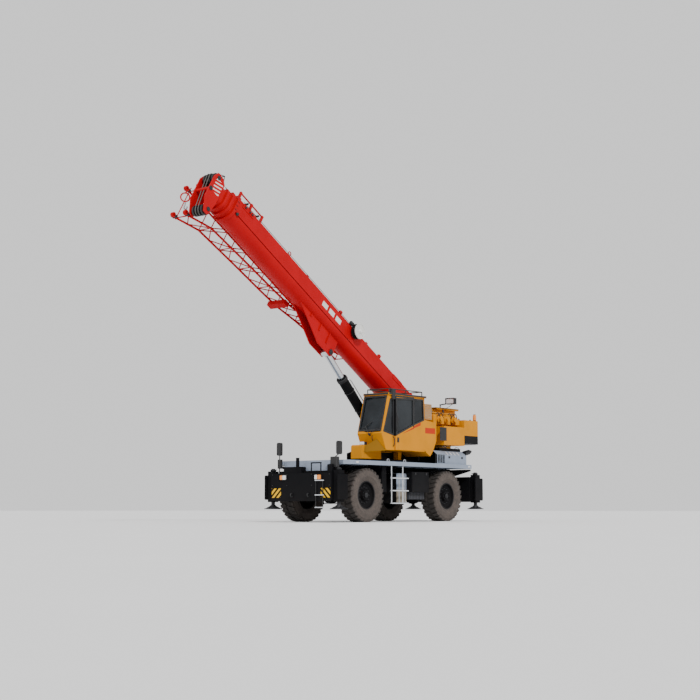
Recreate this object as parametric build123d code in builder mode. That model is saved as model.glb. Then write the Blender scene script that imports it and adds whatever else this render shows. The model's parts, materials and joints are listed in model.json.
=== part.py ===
"""Two-axle rough-terrain crane with a four-section telescopic boom and a lattice jib.

Millimetres. X points forward, Y to the driver's left, Z up from the ground.
All pieces are placed from the point on the ground midway between the axles, and the
finished pieces are then written about the middle of the machine's whole length.
"""
import os
from math import atan2, cos, degrees, hypot, radians, sin, sqrt

from build123d import *

os.makedirs("parts", exist_ok=True)

# running gear
WHEELBASE = 4000.0
TYRE_R = 748.0
TYRE_W = 520.0
TYRE_OUTER_Y = 1330.0
LUG_H = 28.0
LUG_L = 205.0
LUG_W = 100.0
LUG_COUNT = 30
LUG_SLANT = 16.0
BEAD_R = 392.0
BEAD_INSET = 60.0
RIM_GAP = 0.3
KINGPIN_Y = 860.0
KINGPIN_R = 45.0
HUB_R = 150.0
ROD_GAP = 0.08
SEAT = 0.3
AXLE_R = 105.0
DIFF_R = 235.0
DIFF_HALF_L = 230.0
PINION_L = 330.0

# carrier frame and deck
FRAME_HALF_W = 390.0
FRAME_BOTTOM_Z = 1010.0
FRAME_TOP_Z = 1600.0
FRAME_WALL = 20.0
DECK_HALF_W = 1330.0
DECK_TOP_Z = 1720.0
DECK_EDGE_H = 120.0
DECK_PLATE = 10.0
DECK_FRONT_X = 2945.0
DECK_REAR_X = -3300.0
APRON_HALF_Y = 900.0
LADDER_Y = 1297.0
LADDER_R = 16.0
RING_R = 640.0
RING_BORE_R = 520.0
BOX_HALF_Y = 1075.0
BOX_W = 420.0
BOX_Z0 = 585.0
BOX_Z1 = 1360.0
CORNER_TOP = 1590.0
BOX_WALL = 16.0
FRONT_BOX_X = 3140.0
REAR_BOX_X = -3720.0
BEAM_W = 170.0
BEAM_H = 300.0
BEAM_Z = 930.0
BEAM_GAP = 0.5
JACK_Y = 1190.0
JACK_HALF = 105.0
JACK_TOP_Z = 1450.0
JACK_BOTTOM_Z = 560.0
JACK_ROD_R = 55.0
FLOAT_Z = 360.0
FLOAT_R = 250.0

# engine hood
HOOD_X1 = -3150.0
HOOD_X0 = -1440.0
HOOD_HALF_Y = 1240.0
HOOD_TOP_Z = 2125.0
HOOD_WALL = 20.0
SWEEP_R = 1905.0
LOUVRE_COUNT = 7
LID_X0 = -1960.0
LID_X1 = -3100.0
LID_HALF_Y = 1050.0
LID_H = 90.0

# superstructure
TABLE_Z0 = 1770.0
TABLE_PLATE = 40.0
CHEEK_Y0 = 348.0
CHEEK_T = 40.0
CHEEK_LOW_X = -1740.0
TAIL_Z = 2240.0
TAIL_X = -3560.0
CROWN_X0 = -2560.0
CROWN_X1 = -3820.0
CROWN_Z = 3480.0
CROWN_HALF_Y = 520.0
WEIGHT_X0 = -2960.0
WEIGHT_X1 = -3900.0
WEIGHT_Z0 = 2370.0
WEIGHT_Z1 = 3100.0
UPPER_HALF_Y = 1300.0
COVER_H = 565.0
COVER_FRONT_X = -1850.0

# cab
CAB_Y0 = 410.0
CAB_Y1 = 1275.0
CAB_WALL = 40.0
SCREEN_EDGE = 45.0
CAB_REAR_X = -850.0
CAB_FLOOR_Z = 2050.0
CAB_ROOF_Z = 3700.0
DOOR_X0 = -250.0
DOOR_X1 = 670.0
DOOR_T = 40.0
DOOR_GAP = 6.0
DOOR_SLIDE = 760.0
GLASS_T = 8.0
GLASS_GAP = 0.3
NOSE_BOX_X = 1600.0
NOSE_BOX_Y1 = 800.0
NOSE_BOX_Z0 = 1800.0
NOSE_BOX_Z1 = 2190.0

# boom
BOOM_ANGLE = 31.1
FOOT_X = -2050.0
FOOT_Z = 2950.0
BOOM_HALF_W = 330.0
BOOM_TOP = 550.0
BOOM_BOTTOM = -200.0
SEAM_W = 60.0
BOOM_TAIL = -130.0
BOOM_WALL = 9.0
BOOM_STEP = 32.0
BASE_END = 10100.0
SECTION_SHOW = 180.0
COLLAR_L = 90.0
COLLAR_H = 22.0
PAD_GAP = 0.5
BORE_U = 420.0
FOOT_PIN_R = 75.0
REEL_U = 4210.0
REEL_W = 430.0
REEL_R = 225.0
HEAD_L = 370.0
SHEAVE_R = 150.0
SHEAVE_W = 55.0
EYE_U = 4641.0
EYE_W = -600.0
EYE_R = 112.0

# luffing cylinder
CYL_FOOT_X = -351.0
CYL_FOOT_Z = 2328.0
FOOT_EYE_R = 108.0
FOOT_EYE_HALF = 84.0
BARREL_R = 150.0
BARREL_BORE_R = 122.0
BARREL_START = 210.0
BARREL_END = 2630.0
ROD_LENGTH = 2500.0
ROD_R = 98.0
PIN_R = 60.0
PIN_GAP = 0.05

# jib on the boom's right side
JIB_Y0 = -450.0
JIB_Y1 = -910.0
JIB_CHORD_R = 30.0
JIB_LACE_R = 16.0
JIB_ROOT_U = 10735.0
JIB_TIP_U = 3300.0
JIB_ROOT_LOW = -560.0
JIB_LUG_REACH = 130.0
JIB_LUG_R = 70.0
JIB_PIN_R = 28.0

# worked out from the sizes above
E = radians(BOOM_ANGLE)
TYRE_Y = TYRE_OUTER_Y - TYRE_W / 2
LUG_REACH = (LUG_W * cos(radians(LUG_SLANT)) + LUG_L * sin(radians(LUG_SLANT))) / 2
LUG_CORNER = degrees(atan2(LUG_REACH, TYRE_R))
AXLE_Z = max(TYRE_R, hypot(TYRE_R, LUG_REACH) * cos(radians(max(0.0, 180.0 / LUG_COUNT - LUG_CORNER))))
RING_TOP_Z = TABLE_Z0 - SEAT
FRONT_X = WHEELBASE / 2
REAR_X = -WHEELBASE / 2
HEAD_START = BASE_END + 3 * SECTION_SHOW + 60.0
TOP_SHEAVE = (HEAD_START + 210, 470)
LOW_SHEAVE = (HEAD_START + 90, -500)
REAR_END_X = REAR_BOX_X - max(BOX_W / 2, FLOAT_R)
NOSE_X = FOOT_X + (JIB_ROOT_U + JIB_LUG_REACH) * cos(E) - JIB_ROOT_LOW * sin(E) + JIB_LUG_R
MID_X = (REAR_END_X + NOSE_X) / 2
TO_MIDDLE = Location((-MID_X, 0, 0))


def boom_xz(u, w):
    """Point (x, z) of boom length u and boom height w."""
    return (FOOT_X + u * cos(E) - w * sin(E), FOOT_Z + u * sin(E) + w * cos(E))


def boom_plane(u):
    """Plane across the boom at length u: its x runs to the left, its y up."""
    x, z = boom_xz(u, 0)
    return Plane(origin=(x, 0, z), x_dir=(0, 1, 0), z_dir=(cos(E), 0, sin(E)))


def side_plane(y):
    """Plane along the machine at y: its x runs forward, its y up."""
    return Plane(origin=(0, y, 0), x_dir=(1, 0, 0), z_dir=(0, -1, 0))


def boom_side_plane(y):
    """Plane along the boom at y: its x runs along the boom, its y up from it."""
    return Plane(origin=(FOOT_X, y, FOOT_Z), x_dir=(cos(E), 0, sin(E)), z_dir=(0, -1, 0))


def tube(a, b, radius):
    """Round bar from point a to point b."""
    va, vb = Vector(*a), Vector(*b)
    run = vb - va
    with BuildSketch(Plane(origin=va, z_dir=run)) as bar:
        Circle(radius)
    extrude(bar.sketch, amount=run.length)


def bar(a, b, radius, sides):
    """Many-sided bar from point a to point b."""
    va, vb = Vector(*a), Vector(*b)
    run = vb - va
    with BuildSketch(Plane(origin=va, z_dir=run)) as section:
        RegularPolygon(radius, sides)
    extrude(section.sketch, amount=run.length)


# tyres and wheels
with BuildPart() as tyre_master:
    with BuildSketch(Plane.YZ):
        with BuildLine():
            half = TYRE_W / 2
            crown = TYRE_R - LUG_H
            Polyline(
                (-half + BEAD_INSET, BEAD_R),
                (-half, BEAD_R + 130),
                (-half + 12, crown - 60),
                (-half + 45, crown),
                (half - 45, crown),
                (half - 12, crown - 60),
                (half, BEAD_R + 130),
                (half - BEAD_INSET, BEAD_R),
                close=True,
            )
        make_face()
    revolve(axis=Axis.Y)
    for side in (-1, 1):
        for k in range(LUG_COUNT):
            turn = 360.0 / LUG_COUNT * (k + (0.5 if side > 0 else 0.0))
            with BuildSketch(
                Plane.XY.rotated((0, turn, 0)).offset(crown - 40)
            ):
                with Locations(Location((0, side * (TYRE_W / 2 - LUG_L / 2 - 22), 0), (0, 0, side * LUG_SLANT))):
                    Rectangle(LUG_W, LUG_L)
            extrude(amount=TYRE_R - crown + 40)

with BuildPart() as rim_master:
    edge = TYRE_W / 2 - BEAD_INSET
    with BuildSketch(Plane.YZ):
        with BuildLine():
            Polyline(
                (-edge, BEAD_R - RIM_GAP),
                (-edge, BEAD_R - 24),
                (-150, BEAD_R - 28),
                (40, BEAD_R - 44),
                (60, 255),
                (60, 0),
                (90, 0),
                (90, 190),
                (98, 262),
                (130, BEAD_R - 48),
                (edge, BEAD_R - 28),
                (edge, BEAD_R - RIM_GAP),
                close=True,
            )
        make_face()
    revolve(axis=Axis.Y)
    with BuildSketch(Plane.XZ.offset(-90)):
        Circle(HUB_R)
    extrude(amount=-80, taper=14)
    with BuildSketch(Plane.XZ.offset(-169)):
        Circle(85)
    extrude(amount=-26)

WHEELS = (("fl", FRONT_X, 1), ("fr", FRONT_X, -1), ("rl", REAR_X, 1), ("rr", REAR_X, -1))
finished = {}
for tag, x, side in WHEELS:
    turn = Location((x, side * TYRE_Y, AXLE_Z), (0, 0, 0 if side > 0 else 180))
    with BuildPart() as tyre:
        add(tyre_master.part.moved(turn))
    finished["tyre_" + tag] = tyre
    with BuildPart() as rim:
        add(rim_master.part.moved(turn))
    finished["rim_" + tag] = rim

# knuckles and axles
for tag, x, side in WHEELS:
    with BuildPart() as knuckle:
        with BuildSketch(Plane(origin=(x, side * (TYRE_Y + 60 - SEAT), AXLE_Z), z_dir=(0, -side, 0))):
            Circle(HUB_R)
        extrude(amount=TYRE_Y + 60 - SEAT - KINGPIN_Y - 100)
        with BuildSketch(Plane(origin=(x, side * (KINGPIN_Y + 110), AXLE_Z), z_dir=(0, -side, 0))):
            Rectangle(440, 220)
        extrude(amount=32)
        for z in (AXLE_Z + 175, AXLE_Z - 220):
            with BuildSketch(Plane.XY.offset(z)):
                with Locations((x, side * KINGPIN_Y)):
                    Circle(85)
                with Locations((x, side * (KINGPIN_Y + 50))):
                    Rectangle(170, 100)
            extrude(amount=45)
        with BuildSketch(Plane.XY.offset(AXLE_Z + 180)):
            with Locations((x - 150, side * (KINGPIN_Y + 10))):
                Rectangle(260, 70)
        extrude(amount=40)
        with BuildSketch(Plane.XY.offset(AXLE_Z - 200)):
            with Locations((x, side * KINGPIN_Y)):
                Circle(KINGPIN_R)
        extrude(amount=400)
    finished["knuckle_" + tag] = knuckle

with BuildPart() as axles:
    for x in (FRONT_X, REAR_X):
        reach = KINGPIN_Y - 60.0
        with BuildSketch(Plane(origin=(x, -reach, AXLE_Z), z_dir=(0, 1, 0))):
            Circle(AXLE_R)
        extrude(amount=2 * reach)
        with BuildSketch(Plane(origin=(x, 0, AXLE_Z), x_dir=(0, 1, 0), z_dir=(1, 0, 0))):
            with BuildLine():
                Polyline(
                    (-DIFF_HALF_L, 0),
                    (-DIFF_HALF_L, AXLE_R + 10),
                    (-DIFF_HALF_L / 2, DIFF_R - 15),
                    (0, DIFF_R),
                    (DIFF_HALF_L / 2, DIFF_R - 15),
                    (DIFF_HALF_L, AXLE_R + 10),
                    (DIFF_HALF_L, 0),
                    close=True,
                )
            make_face()
        revolve(axis=Axis((x, 0, AXLE_Z), (0, 1, 0)))
        inward = -1 if x > 0 else 1
        with BuildSketch(Plane(origin=(x, 0, AXLE_Z), z_dir=(inward, 0, 0))):
            Circle(95)
        extrude(amount=PINION_L)
        for side in (-1, 1):
            with BuildSketch(Plane.XY.offset(AXLE_Z - 172)):
                with Locations((x, side * KINGPIN_Y)):
                    Circle(70)
            extrude(amount=344)
            with BuildSketch(Plane.XY.offset(AXLE_Z - 173)):
                with Locations((x, side * KINGPIN_Y)):
                    Circle(KINGPIN_R + PIN_GAP)
            extrude(amount=346, mode=Mode.SUBTRACT)
            with BuildSketch(Plane.XY.offset(AXLE_Z + AXLE_R - 25)):
                with Locations((x, side * 330)):
                    Rectangle(240, 110)
            extrude(amount=FRAME_BOTTOM_Z - AXLE_Z - AXLE_R + 25)
finished["axles"] = axles

# carrier frame
with BuildPart() as carrier_frame:
    x0 = REAR_BOX_X + BOX_W / 2
    x1 = FRONT_BOX_X - BOX_W / 2
    with BuildSketch(Plane(origin=(x0, 0, 0), x_dir=(0, 1, 0), z_dir=(1, 0, 0))):
        with Locations((0, (FRAME_BOTTOM_Z + FRAME_TOP_Z) / 2)):
            Rectangle(2 * FRAME_HALF_W, FRAME_TOP_Z - FRAME_BOTTOM_Z)
            Rectangle(
                2 * (FRAME_HALF_W - FRAME_WALL),
                FRAME_TOP_Z - FRAME_BOTTOM_Z - 2 * FRAME_WALL,
                mode=Mode.SUBTRACT,
            )
    extrude(amount=x1 - x0)
    with BuildSketch(Plane.XZ.offset(FRAME_HALF_W + 50)):
        for x in (-2900, -1300, -500, 300, 1100, 2550):
            with Locations((x, (FRAME_BOTTOM_Z + FRAME_TOP_Z) / 2)):
                SlotOverall(420, 200)
    extrude(amount=-2 * FRAME_HALF_W - 100, mode=Mode.SUBTRACT)
    with BuildSketch(Plane.XY.offset(FRAME_TOP_Z - FRAME_WALL - 1)):
        Circle(RING_BORE_R - 60)
    extrude(amount=FRAME_WALL + 2, mode=Mode.SUBTRACT)
    for x in (-1500, 620, 1350, 2700, -3300):
        for side in (-1, 1):
            with BuildSketch(Plane(origin=(x, side * FRAME_HALF_W, 0), x_dir=(0, side, 0), z_dir=(side * 1, 0, 0))):
                with BuildLine():
                    Polyline(
                        (-1, FRAME_TOP_Z - 20),
                        (DECK_HALF_W - FRAME_HALF_W - 30, FRAME_TOP_Z - 20),
                        (DECK_HALF_W - FRAME_HALF_W - 30, FRAME_TOP_Z - 70),
                        (-1, FRAME_TOP_Z - 300),
                        close=True,
                    )
                make_face()
            extrude(amount=20)
finished["carrier_frame"] = carrier_frame

with BuildPart() as slew_ring:
    with BuildSketch(Plane.XY.offset(FRAME_TOP_Z)):
        Circle(RING_R - 40)
        Circle(RING_BORE_R, mode=Mode.SUBTRACT)
    extrude(amount=RING_TOP_Z - FRAME_TOP_Z - 40)
    with BuildSketch(Plane.XY.offset(RING_TOP_Z - 80)):
        Circle(RING_R)
        Circle(RING_BORE_R, mode=Mode.SUBTRACT)
    extrude(amount=80)
finished["slew_ring"] = slew_ring

# deck
with BuildPart() as carrier_deck:
    with BuildSketch(Plane.XY.offset(DECK_TOP_Z - DECK_EDGE_H)):
        with BuildLine():
            Polyline(
                (DECK_REAR_X, DECK_HALF_W),
                (DECK_FRONT_X - 250, DECK_HALF_W),
                (DECK_FRONT_X, DECK_HALF_W - 140),
                (DECK_FRONT_X, -DECK_HALF_W + 140),
                (DECK_FRONT_X - 250, -DECK_HALF_W),
                (DECK_REAR_X, -DECK_HALF_W),
                close=True,
            )
        make_face()
    extrude(amount=DECK_EDGE_H)
    with BuildSketch(Plane.XY.offset(DECK_TOP_Z - DECK_EDGE_H - 1)):
        with BuildLine():
            inset = 14.0
            Polyline(
                (DECK_REAR_X + inset, DECK_HALF_W - inset),
                (DECK_FRONT_X - 250, DECK_HALF_W - inset),
                (DECK_FRONT_X - inset, DECK_HALF_W - 140 - inset),
                (DECK_FRONT_X - inset, -DECK_HALF_W + 140 + inset),
                (DECK_FRONT_X - 250, -DECK_HALF_W + inset),
                (DECK_REAR_X + inset, -DECK_HALF_W + inset),
                close=True,
            )
        make_face()
    extrude(amount=DECK_EDGE_H + 1 - DECK_PLATE, mode=Mode.SUBTRACT)
    for x0, x1 in ((DECK_REAR_X, -720), (720, DECK_FRONT_X)):
        for side in (-1, 1):
            with BuildSketch(Plane.XY.offset(FRAME_TOP_Z)):
                with Locations(((x0 + x1) / 2, side * (FRAME_HALF_W - 60))):
                    Rectangle(x1 - x0 - 40, 40)
            extrude(amount=DECK_TOP_Z - FRAME_TOP_Z - DECK_PLATE / 2)
    with BuildSketch(Plane.XY.offset(DECK_TOP_Z - DECK_EDGE_H - 1)):
        Circle(RING_R + 40)
    extrude(amount=DECK_EDGE_H + 2, mode=Mode.SUBTRACT)
    with BuildSketch(Plane.XY.offset(DECK_TOP_Z - DECK_EDGE_H - 1)):
        with Locations(((HOOD_X1 - 1950) / 2, 0)):
            Rectangle(-1950 - HOOD_X1 - 60, 2 * FRAME_HALF_W - 200)
    extrude(amount=DECK_EDGE_H + 2, mode=Mode.SUBTRACT)
    with BuildSketch(side_plane(APRON_HALF_Y)):
        with BuildLine():
            Polyline(
                (DECK_FRONT_X - 40, DECK_TOP_Z - DECK_EDGE_H),
                (DECK_FRONT_X - 20, DECK_TOP_Z),
                (DECK_FRONT_X + 20, DECK_TOP_Z),
                (DECK_FRONT_X + 110, BOX_Z1 + SEAT),
                (DECK_FRONT_X + 70, BOX_Z1 + SEAT),
                (DECK_FRONT_X - 12, DECK_TOP_Z - DECK_EDGE_H),
                close=True,
            )
        make_face()
    extrude(amount=2 * APRON_HALF_Y)
finished["carrier_deck"] = carrier_deck

# outrigger boxes
with BuildPart() as outrigger_boxes:
    for xc in (FRONT_BOX_X, REAR_BOX_X):
        with BuildSketch(Plane(origin=(xc, -BOX_HALF_Y, 0), x_dir=(1, 0, 0), z_dir=(0, 1, 0))):
            with Locations((0, -(BOX_Z0 + BOX_Z1) / 2)):
                Rectangle(BOX_W, BOX_Z1 - BOX_Z0)
            for s in (-1, 1):
                with Locations((s * (BOX_W / 4 - 1), -BEAM_Z)):
                    Rectangle(BEAM_W + 2 * BEAM_GAP, BEAM_H + 2 * BEAM_GAP, mode=Mode.SUBTRACT)
            with Locations((0, -(BOX_Z1 + BEAM_Z + BEAM_H / 2 + 30) / 2)):
                Rectangle(BOX_W - 2 * BOX_WALL, BOX_Z1 - BEAM_Z - BEAM_H / 2 - 60, mode=Mode.SUBTRACT)
            with Locations((0, -(BOX_Z0 + BEAM_Z - BEAM_H / 2 - 10) / 2)):
                Rectangle(BOX_W - 2 * BOX_WALL, BEAM_Z - BEAM_H / 2 - BOX_Z0 - 50, mode=Mode.SUBTRACT)
        extrude(amount=2 * BOX_HALF_Y)
finished["outrigger_boxes"] = outrigger_boxes

BEAMS = (
    ("fl", FRONT_BOX_X, BOX_W / 4 - 1, 1),
    ("fr", FRONT_BOX_X, -BOX_W / 4 + 1, -1),
    ("rl", REAR_BOX_X, BOX_W / 4 - 1, 1),
    ("rr", REAR_BOX_X, -BOX_W / 4 + 1, -1),
)
for tag, xc, dx, side in BEAMS:
    with BuildPart() as beam:
        with BuildSketch(Plane(origin=(xc + dx, -side * (BOX_HALF_Y - 30), 0), x_dir=(1, 0, 0), z_dir=(0, side, 0))):
            with Locations((0, -side * BEAM_Z)):
                Rectangle(BEAM_W, BEAM_H)
                Rectangle(BEAM_W - 24, BEAM_H - 24, mode=Mode.SUBTRACT)
        extrude(amount=BOX_HALF_Y - 30 + JACK_Y - JACK_HALF)
        with BuildSketch(Plane(origin=(xc, side * (JACK_Y - JACK_HALF - 10), 0), x_dir=(1, 0, 0), z_dir=(0, side, 0))):
            with Locations((0, -side * (BOX_Z0 + BOX_Z1) / 2)):
                Rectangle(BOX_W, BOX_Z1 - BOX_Z0 - 30)
        extrude(amount=20)
        with BuildSketch(Plane.XY.offset(JACK_BOTTOM_Z)):
            with Locations((xc, side * JACK_Y)):
                RectangleRounded(2 * JACK_HALF + 50, 2 * JACK_HALF, 30)
                Circle(JACK_ROD_R + ROD_GAP, mode=Mode.SUBTRACT)
        extrude(amount=JACK_TOP_Z - JACK_BOTTOM_Z - 25)
        with BuildSketch(Plane.XY.offset(JACK_TOP_Z - 25)):
            with Locations((xc, side * JACK_Y)):
                Circle(80)
        extrude(amount=50)
        with BuildSketch(Plane(origin=(xc, side * (JACK_Y + JACK_HALF - 1), 0), x_dir=(1, 0, 0), z_dir=(0, side, 0))):
            with Locations((0, -side * 970)):
                RectangleRounded(BOX_W, 690, 40)
        extrude(amount=40)
    finished["beam_" + tag] = beam
    with BuildPart() as jack:
        with BuildSketch(Plane.XY.offset(FLOAT_Z + 60)):
            with Locations((xc, side * JACK_Y)):
                Circle(JACK_ROD_R)
        extrude(amount=JACK_TOP_Z - 60 - FLOAT_Z - 60)
        with BuildSketch(Plane(origin=(xc, side * JACK_Y, FLOAT_Z), x_dir=(1, 0, 0), z_dir=(0, -1, 0))):
            with BuildLine():
                Polyline((0, 0), (FLOAT_R, 0), (FLOAT_R, 22), (95, 60), (75, 120), (0, 120), close=True)
            make_face()
        revolve(axis=Axis((xc, side * JACK_Y, 0), (0, 0, 1)))
    finished["jack_" + tag] = jack

# engine, hood and exhaust
with BuildPart() as engine_hood:
    with BuildSketch(Plane(origin=(HOOD_X1, 0, 0), x_dir=(0, 1, 0), z_dir=(1, 0, 0))):
        with BuildLine():
            Polyline(
                (-HOOD_HALF_Y, DECK_TOP_Z),
                (-HOOD_HALF_Y, HOOD_TOP_Z - 130),
                (-HOOD_HALF_Y + 170, HOOD_TOP_Z),
                (HOOD_HALF_Y - 170, HOOD_TOP_Z),
                (HOOD_HALF_Y, HOOD_TOP_Z - 130),
                (HOOD_HALF_Y, DECK_TOP_Z),
                close=True,
            )
        make_face()
        with BuildLine():
            t = HOOD_WALL
            Polyline(
                (-HOOD_HALF_Y + t, DECK_TOP_Z),
                (-HOOD_HALF_Y + t, HOOD_TOP_Z - 130 - t / 2),
                (-HOOD_HALF_Y + 170 + t / 2, HOOD_TOP_Z - t),
                (HOOD_HALF_Y - 170 - t / 2, HOOD_TOP_Z - t),
                (HOOD_HALF_Y - t, HOOD_TOP_Z - 130 - t / 2),
                (HOOD_HALF_Y - t, DECK_TOP_Z),
                close=True,
            )
        make_face(mode=Mode.SUBTRACT)
    extrude(amount=HOOD_X0 - HOOD_X1)
    with BuildSketch(Plane.YZ.offset(HOOD_X1)):
        with BuildLine():
            Polyline(
                (-HOOD_HALF_Y + 1, DECK_TOP_Z),
                (-HOOD_HALF_Y + 1, HOOD_TOP_Z - 130),
                (-HOOD_HALF_Y + 171, HOOD_TOP_Z - 1),
                (HOOD_HALF_Y - 171, HOOD_TOP_Z - 1),
                (HOOD_HALF_Y - 1, HOOD_TOP_Z - 130),
                (HOOD_HALF_Y - 1, DECK_TOP_Z),
                close=True,
            )
        make_face()
    extrude(amount=HOOD_WALL)
    with BuildSketch(Plane.XY.offset(DECK_TOP_Z - 1)):
        Circle(SWEEP_R)
    extrude(amount=HOOD_TOP_Z - DECK_TOP_Z + 2, mode=Mode.SUBTRACT)
    with BuildSketch(Plane.XZ.offset(HOOD_HALF_Y + 10)):
        for col in range(3):
            for row in range(LOUVRE_COUNT):
                with Locations((-1640 - 130 * col, DECK_TOP_Z + 50 + 36 * row)):
                    Rectangle(95, 18)
    extrude(amount=-2 * HOOD_HALF_Y - 20, mode=Mode.SUBTRACT)
    with BuildSketch(Plane.XY.offset(HOOD_TOP_Z - 1)):
        with Locations(((LID_X0 + LID_X1) / 2, 0)):
            Rectangle(LID_X0 - LID_X1, 2 * LID_HALF_Y)
    extrude(amount=LID_H + 1)
finished["engine_hood"] = engine_hood

with BuildPart() as engine_block:
    with BuildSketch(Plane.XY.offset(FRAME_TOP_Z)):
        with Locations((-2520, 0)):
            Rectangle(1000, 540)
    extrude(amount=440)
finished["engine_block"] = engine_block

with BuildPart() as exhaust:
    pipe_y = 900.0
    low_z = HOOD_TOP_Z - 140
    tube((HOOD_X1, pipe_y, low_z), (HOOD_X1 - 290, pipe_y, low_z), 55)
    tube((HOOD_X1 - 270, pipe_y, low_z), (HOOD_X1 - 420, pipe_y, low_z + 120), 55)
    tube((HOOD_X1 - 380, pipe_y, low_z + 105), (HOOD_X1 - 660, pipe_y, low_z + 160), 78)
    tube((HOOD_X1 - 650, pipe_y, low_z + 158), (HOOD_X1 - 770, pipe_y, low_z + 182), 40)
finished["exhaust"] = exhaust

# side boxes, tanks, ladders
with BuildPart() as side_boxes:
    for side in (-1, 1):
        for x0, x1, y0, y1, z0, z1 in (
            (-1110, -240, FRAME_HALF_W + SEAT, 1250, 860, 1450),
            (-240 + 12, 250, FRAME_HALF_W + SEAT, 1060, 540, 1400),
            (880, 1100, FRAME_HALF_W + SEAT, 1150, 850, 1590),
            (-1060, -300, 700, 1120, 650, 860),
        ):
            with BuildSketch(Plane.XY.offset(z0)):
                with Locations(((x0 + x1) / 2, side * (y0 + y1) / 2)):
                    RectangleRounded(x1 - x0, y1 - y0, 30)
            extrude(amount=z1 - z0)
finished["side_boxes"] = side_boxes

with BuildPart() as ladders:
    for side in (-1, 1):
        for x in (300, 850):
            tube((x, side * LADDER_Y, 520), (x, side * LADDER_Y, DECK_TOP_Z - DECK_PLATE), LADDER_R)
        for z in (530, 890, 1250):
            with BuildSketch(Plane.XY.offset(z - 14)):
                with Locations((455, side * LADDER_Y)):
                    Rectangle(790, 80)
            extrude(amount=28)
        tube((150, side * (1060 + SEAT), 1250), (150, side * LADDER_Y, 1250), 14)
    for y in (565, 815):
        tube((FRONT_BOX_X + BOX_W / 2 + 25, y, 405), (FRONT_BOX_X + BOX_W / 2 + 25, y, 1145), 14)
        for z in (780, 1120):
            tube((FRONT_BOX_X + BOX_W / 2 + SEAT, y, z), (FRONT_BOX_X + BOX_W / 2 + 30, y, z), 14)
    for z in (410, 750, 1150):
        with BuildSketch(Plane.XY.offset(z - 12)):
            with Locations((FRONT_BOX_X + BOX_W / 2 + 27, 690)):
                Rectangle(52, 280)
        extrude(amount=24)
finished["ladders"] = ladders

# front lamps, mirrors and rack
FACE_X = FRONT_BOX_X + BOX_W / 2
with BuildPart() as front_lamps:
    for y in (-670, -560, 590, 700):
        with BuildSketch(Plane.YZ.offset(FACE_X)):
            with Locations((y, 1240)):
                RectangleRounded(100, 120, 18)
        extrude(amount=55)
finished["front_lamps"] = front_lamps

with BuildPart() as road_mirrors:
    for side, y in ((1, 1200), (-1, -860)):
        xm = 3140 if side > 0 else 3252
        zf = CORNER_TOP if side > 0 else BOX_Z1
        yy = y if side < 0 else 1035
        tube((xm, yy, zf), (xm, yy, 1790), 16)
        tube((xm, yy, 1780), (xm, y, 1880), 14)
        tube((xm, y, 1860), (xm, y, 1940), 14)
        with BuildSketch(Plane.YZ.offset(xm - 45)):
            with Locations((y, 2045)):
                RectangleRounded(150, 370, 50)
        extrude(amount=90)
finished["road_mirrors"] = road_mirrors

with BuildPart() as front_rack:
    with BuildSketch(Plane.XY.offset(BOX_Z1)):
        with Locations((FRONT_BOX_X + 60, -340)):
            RectangleRounded(240, 640, 30)
    extrude(amount=175)
    tube((FRONT_BOX_X + 120, -185, BOX_Z1 + 170), (FRONT_BOX_X + 120, -185, 1790), 50)
    for y in (270, 610):
        tube((FRONT_BOX_X + 70, y, BOX_Z1), (FRONT_BOX_X + 70, y, 1640), 17)
    tube((FRONT_BOX_X + 70, 254, 1640), (FRONT_BOX_X + 70, 626, 1640), 17)
    with BuildSketch(Plane.XY.offset(BOX_Z1)):
        with Locations((FRONT_BOX_X + 10, 0)):
            Rectangle(160, 1790)
    extrude(amount=60)
    with BuildSketch(Plane.XY.offset(BOX_Z1)):
        with Locations((FRONT_BOX_X, (APRON_HALF_Y + BOX_HALF_Y) / 2)):
            Rectangle(300, BOX_HALF_Y - APRON_HALF_Y - 10)
    extrude(amount=CORNER_TOP - BOX_Z1)
finished["front_rack"] = front_rack

# turntable with winch frame
TABLE_TOP = TABLE_Z0 + TABLE_PLATE
CHEEK_Y = CHEEK_Y0 + CHEEK_T
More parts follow.
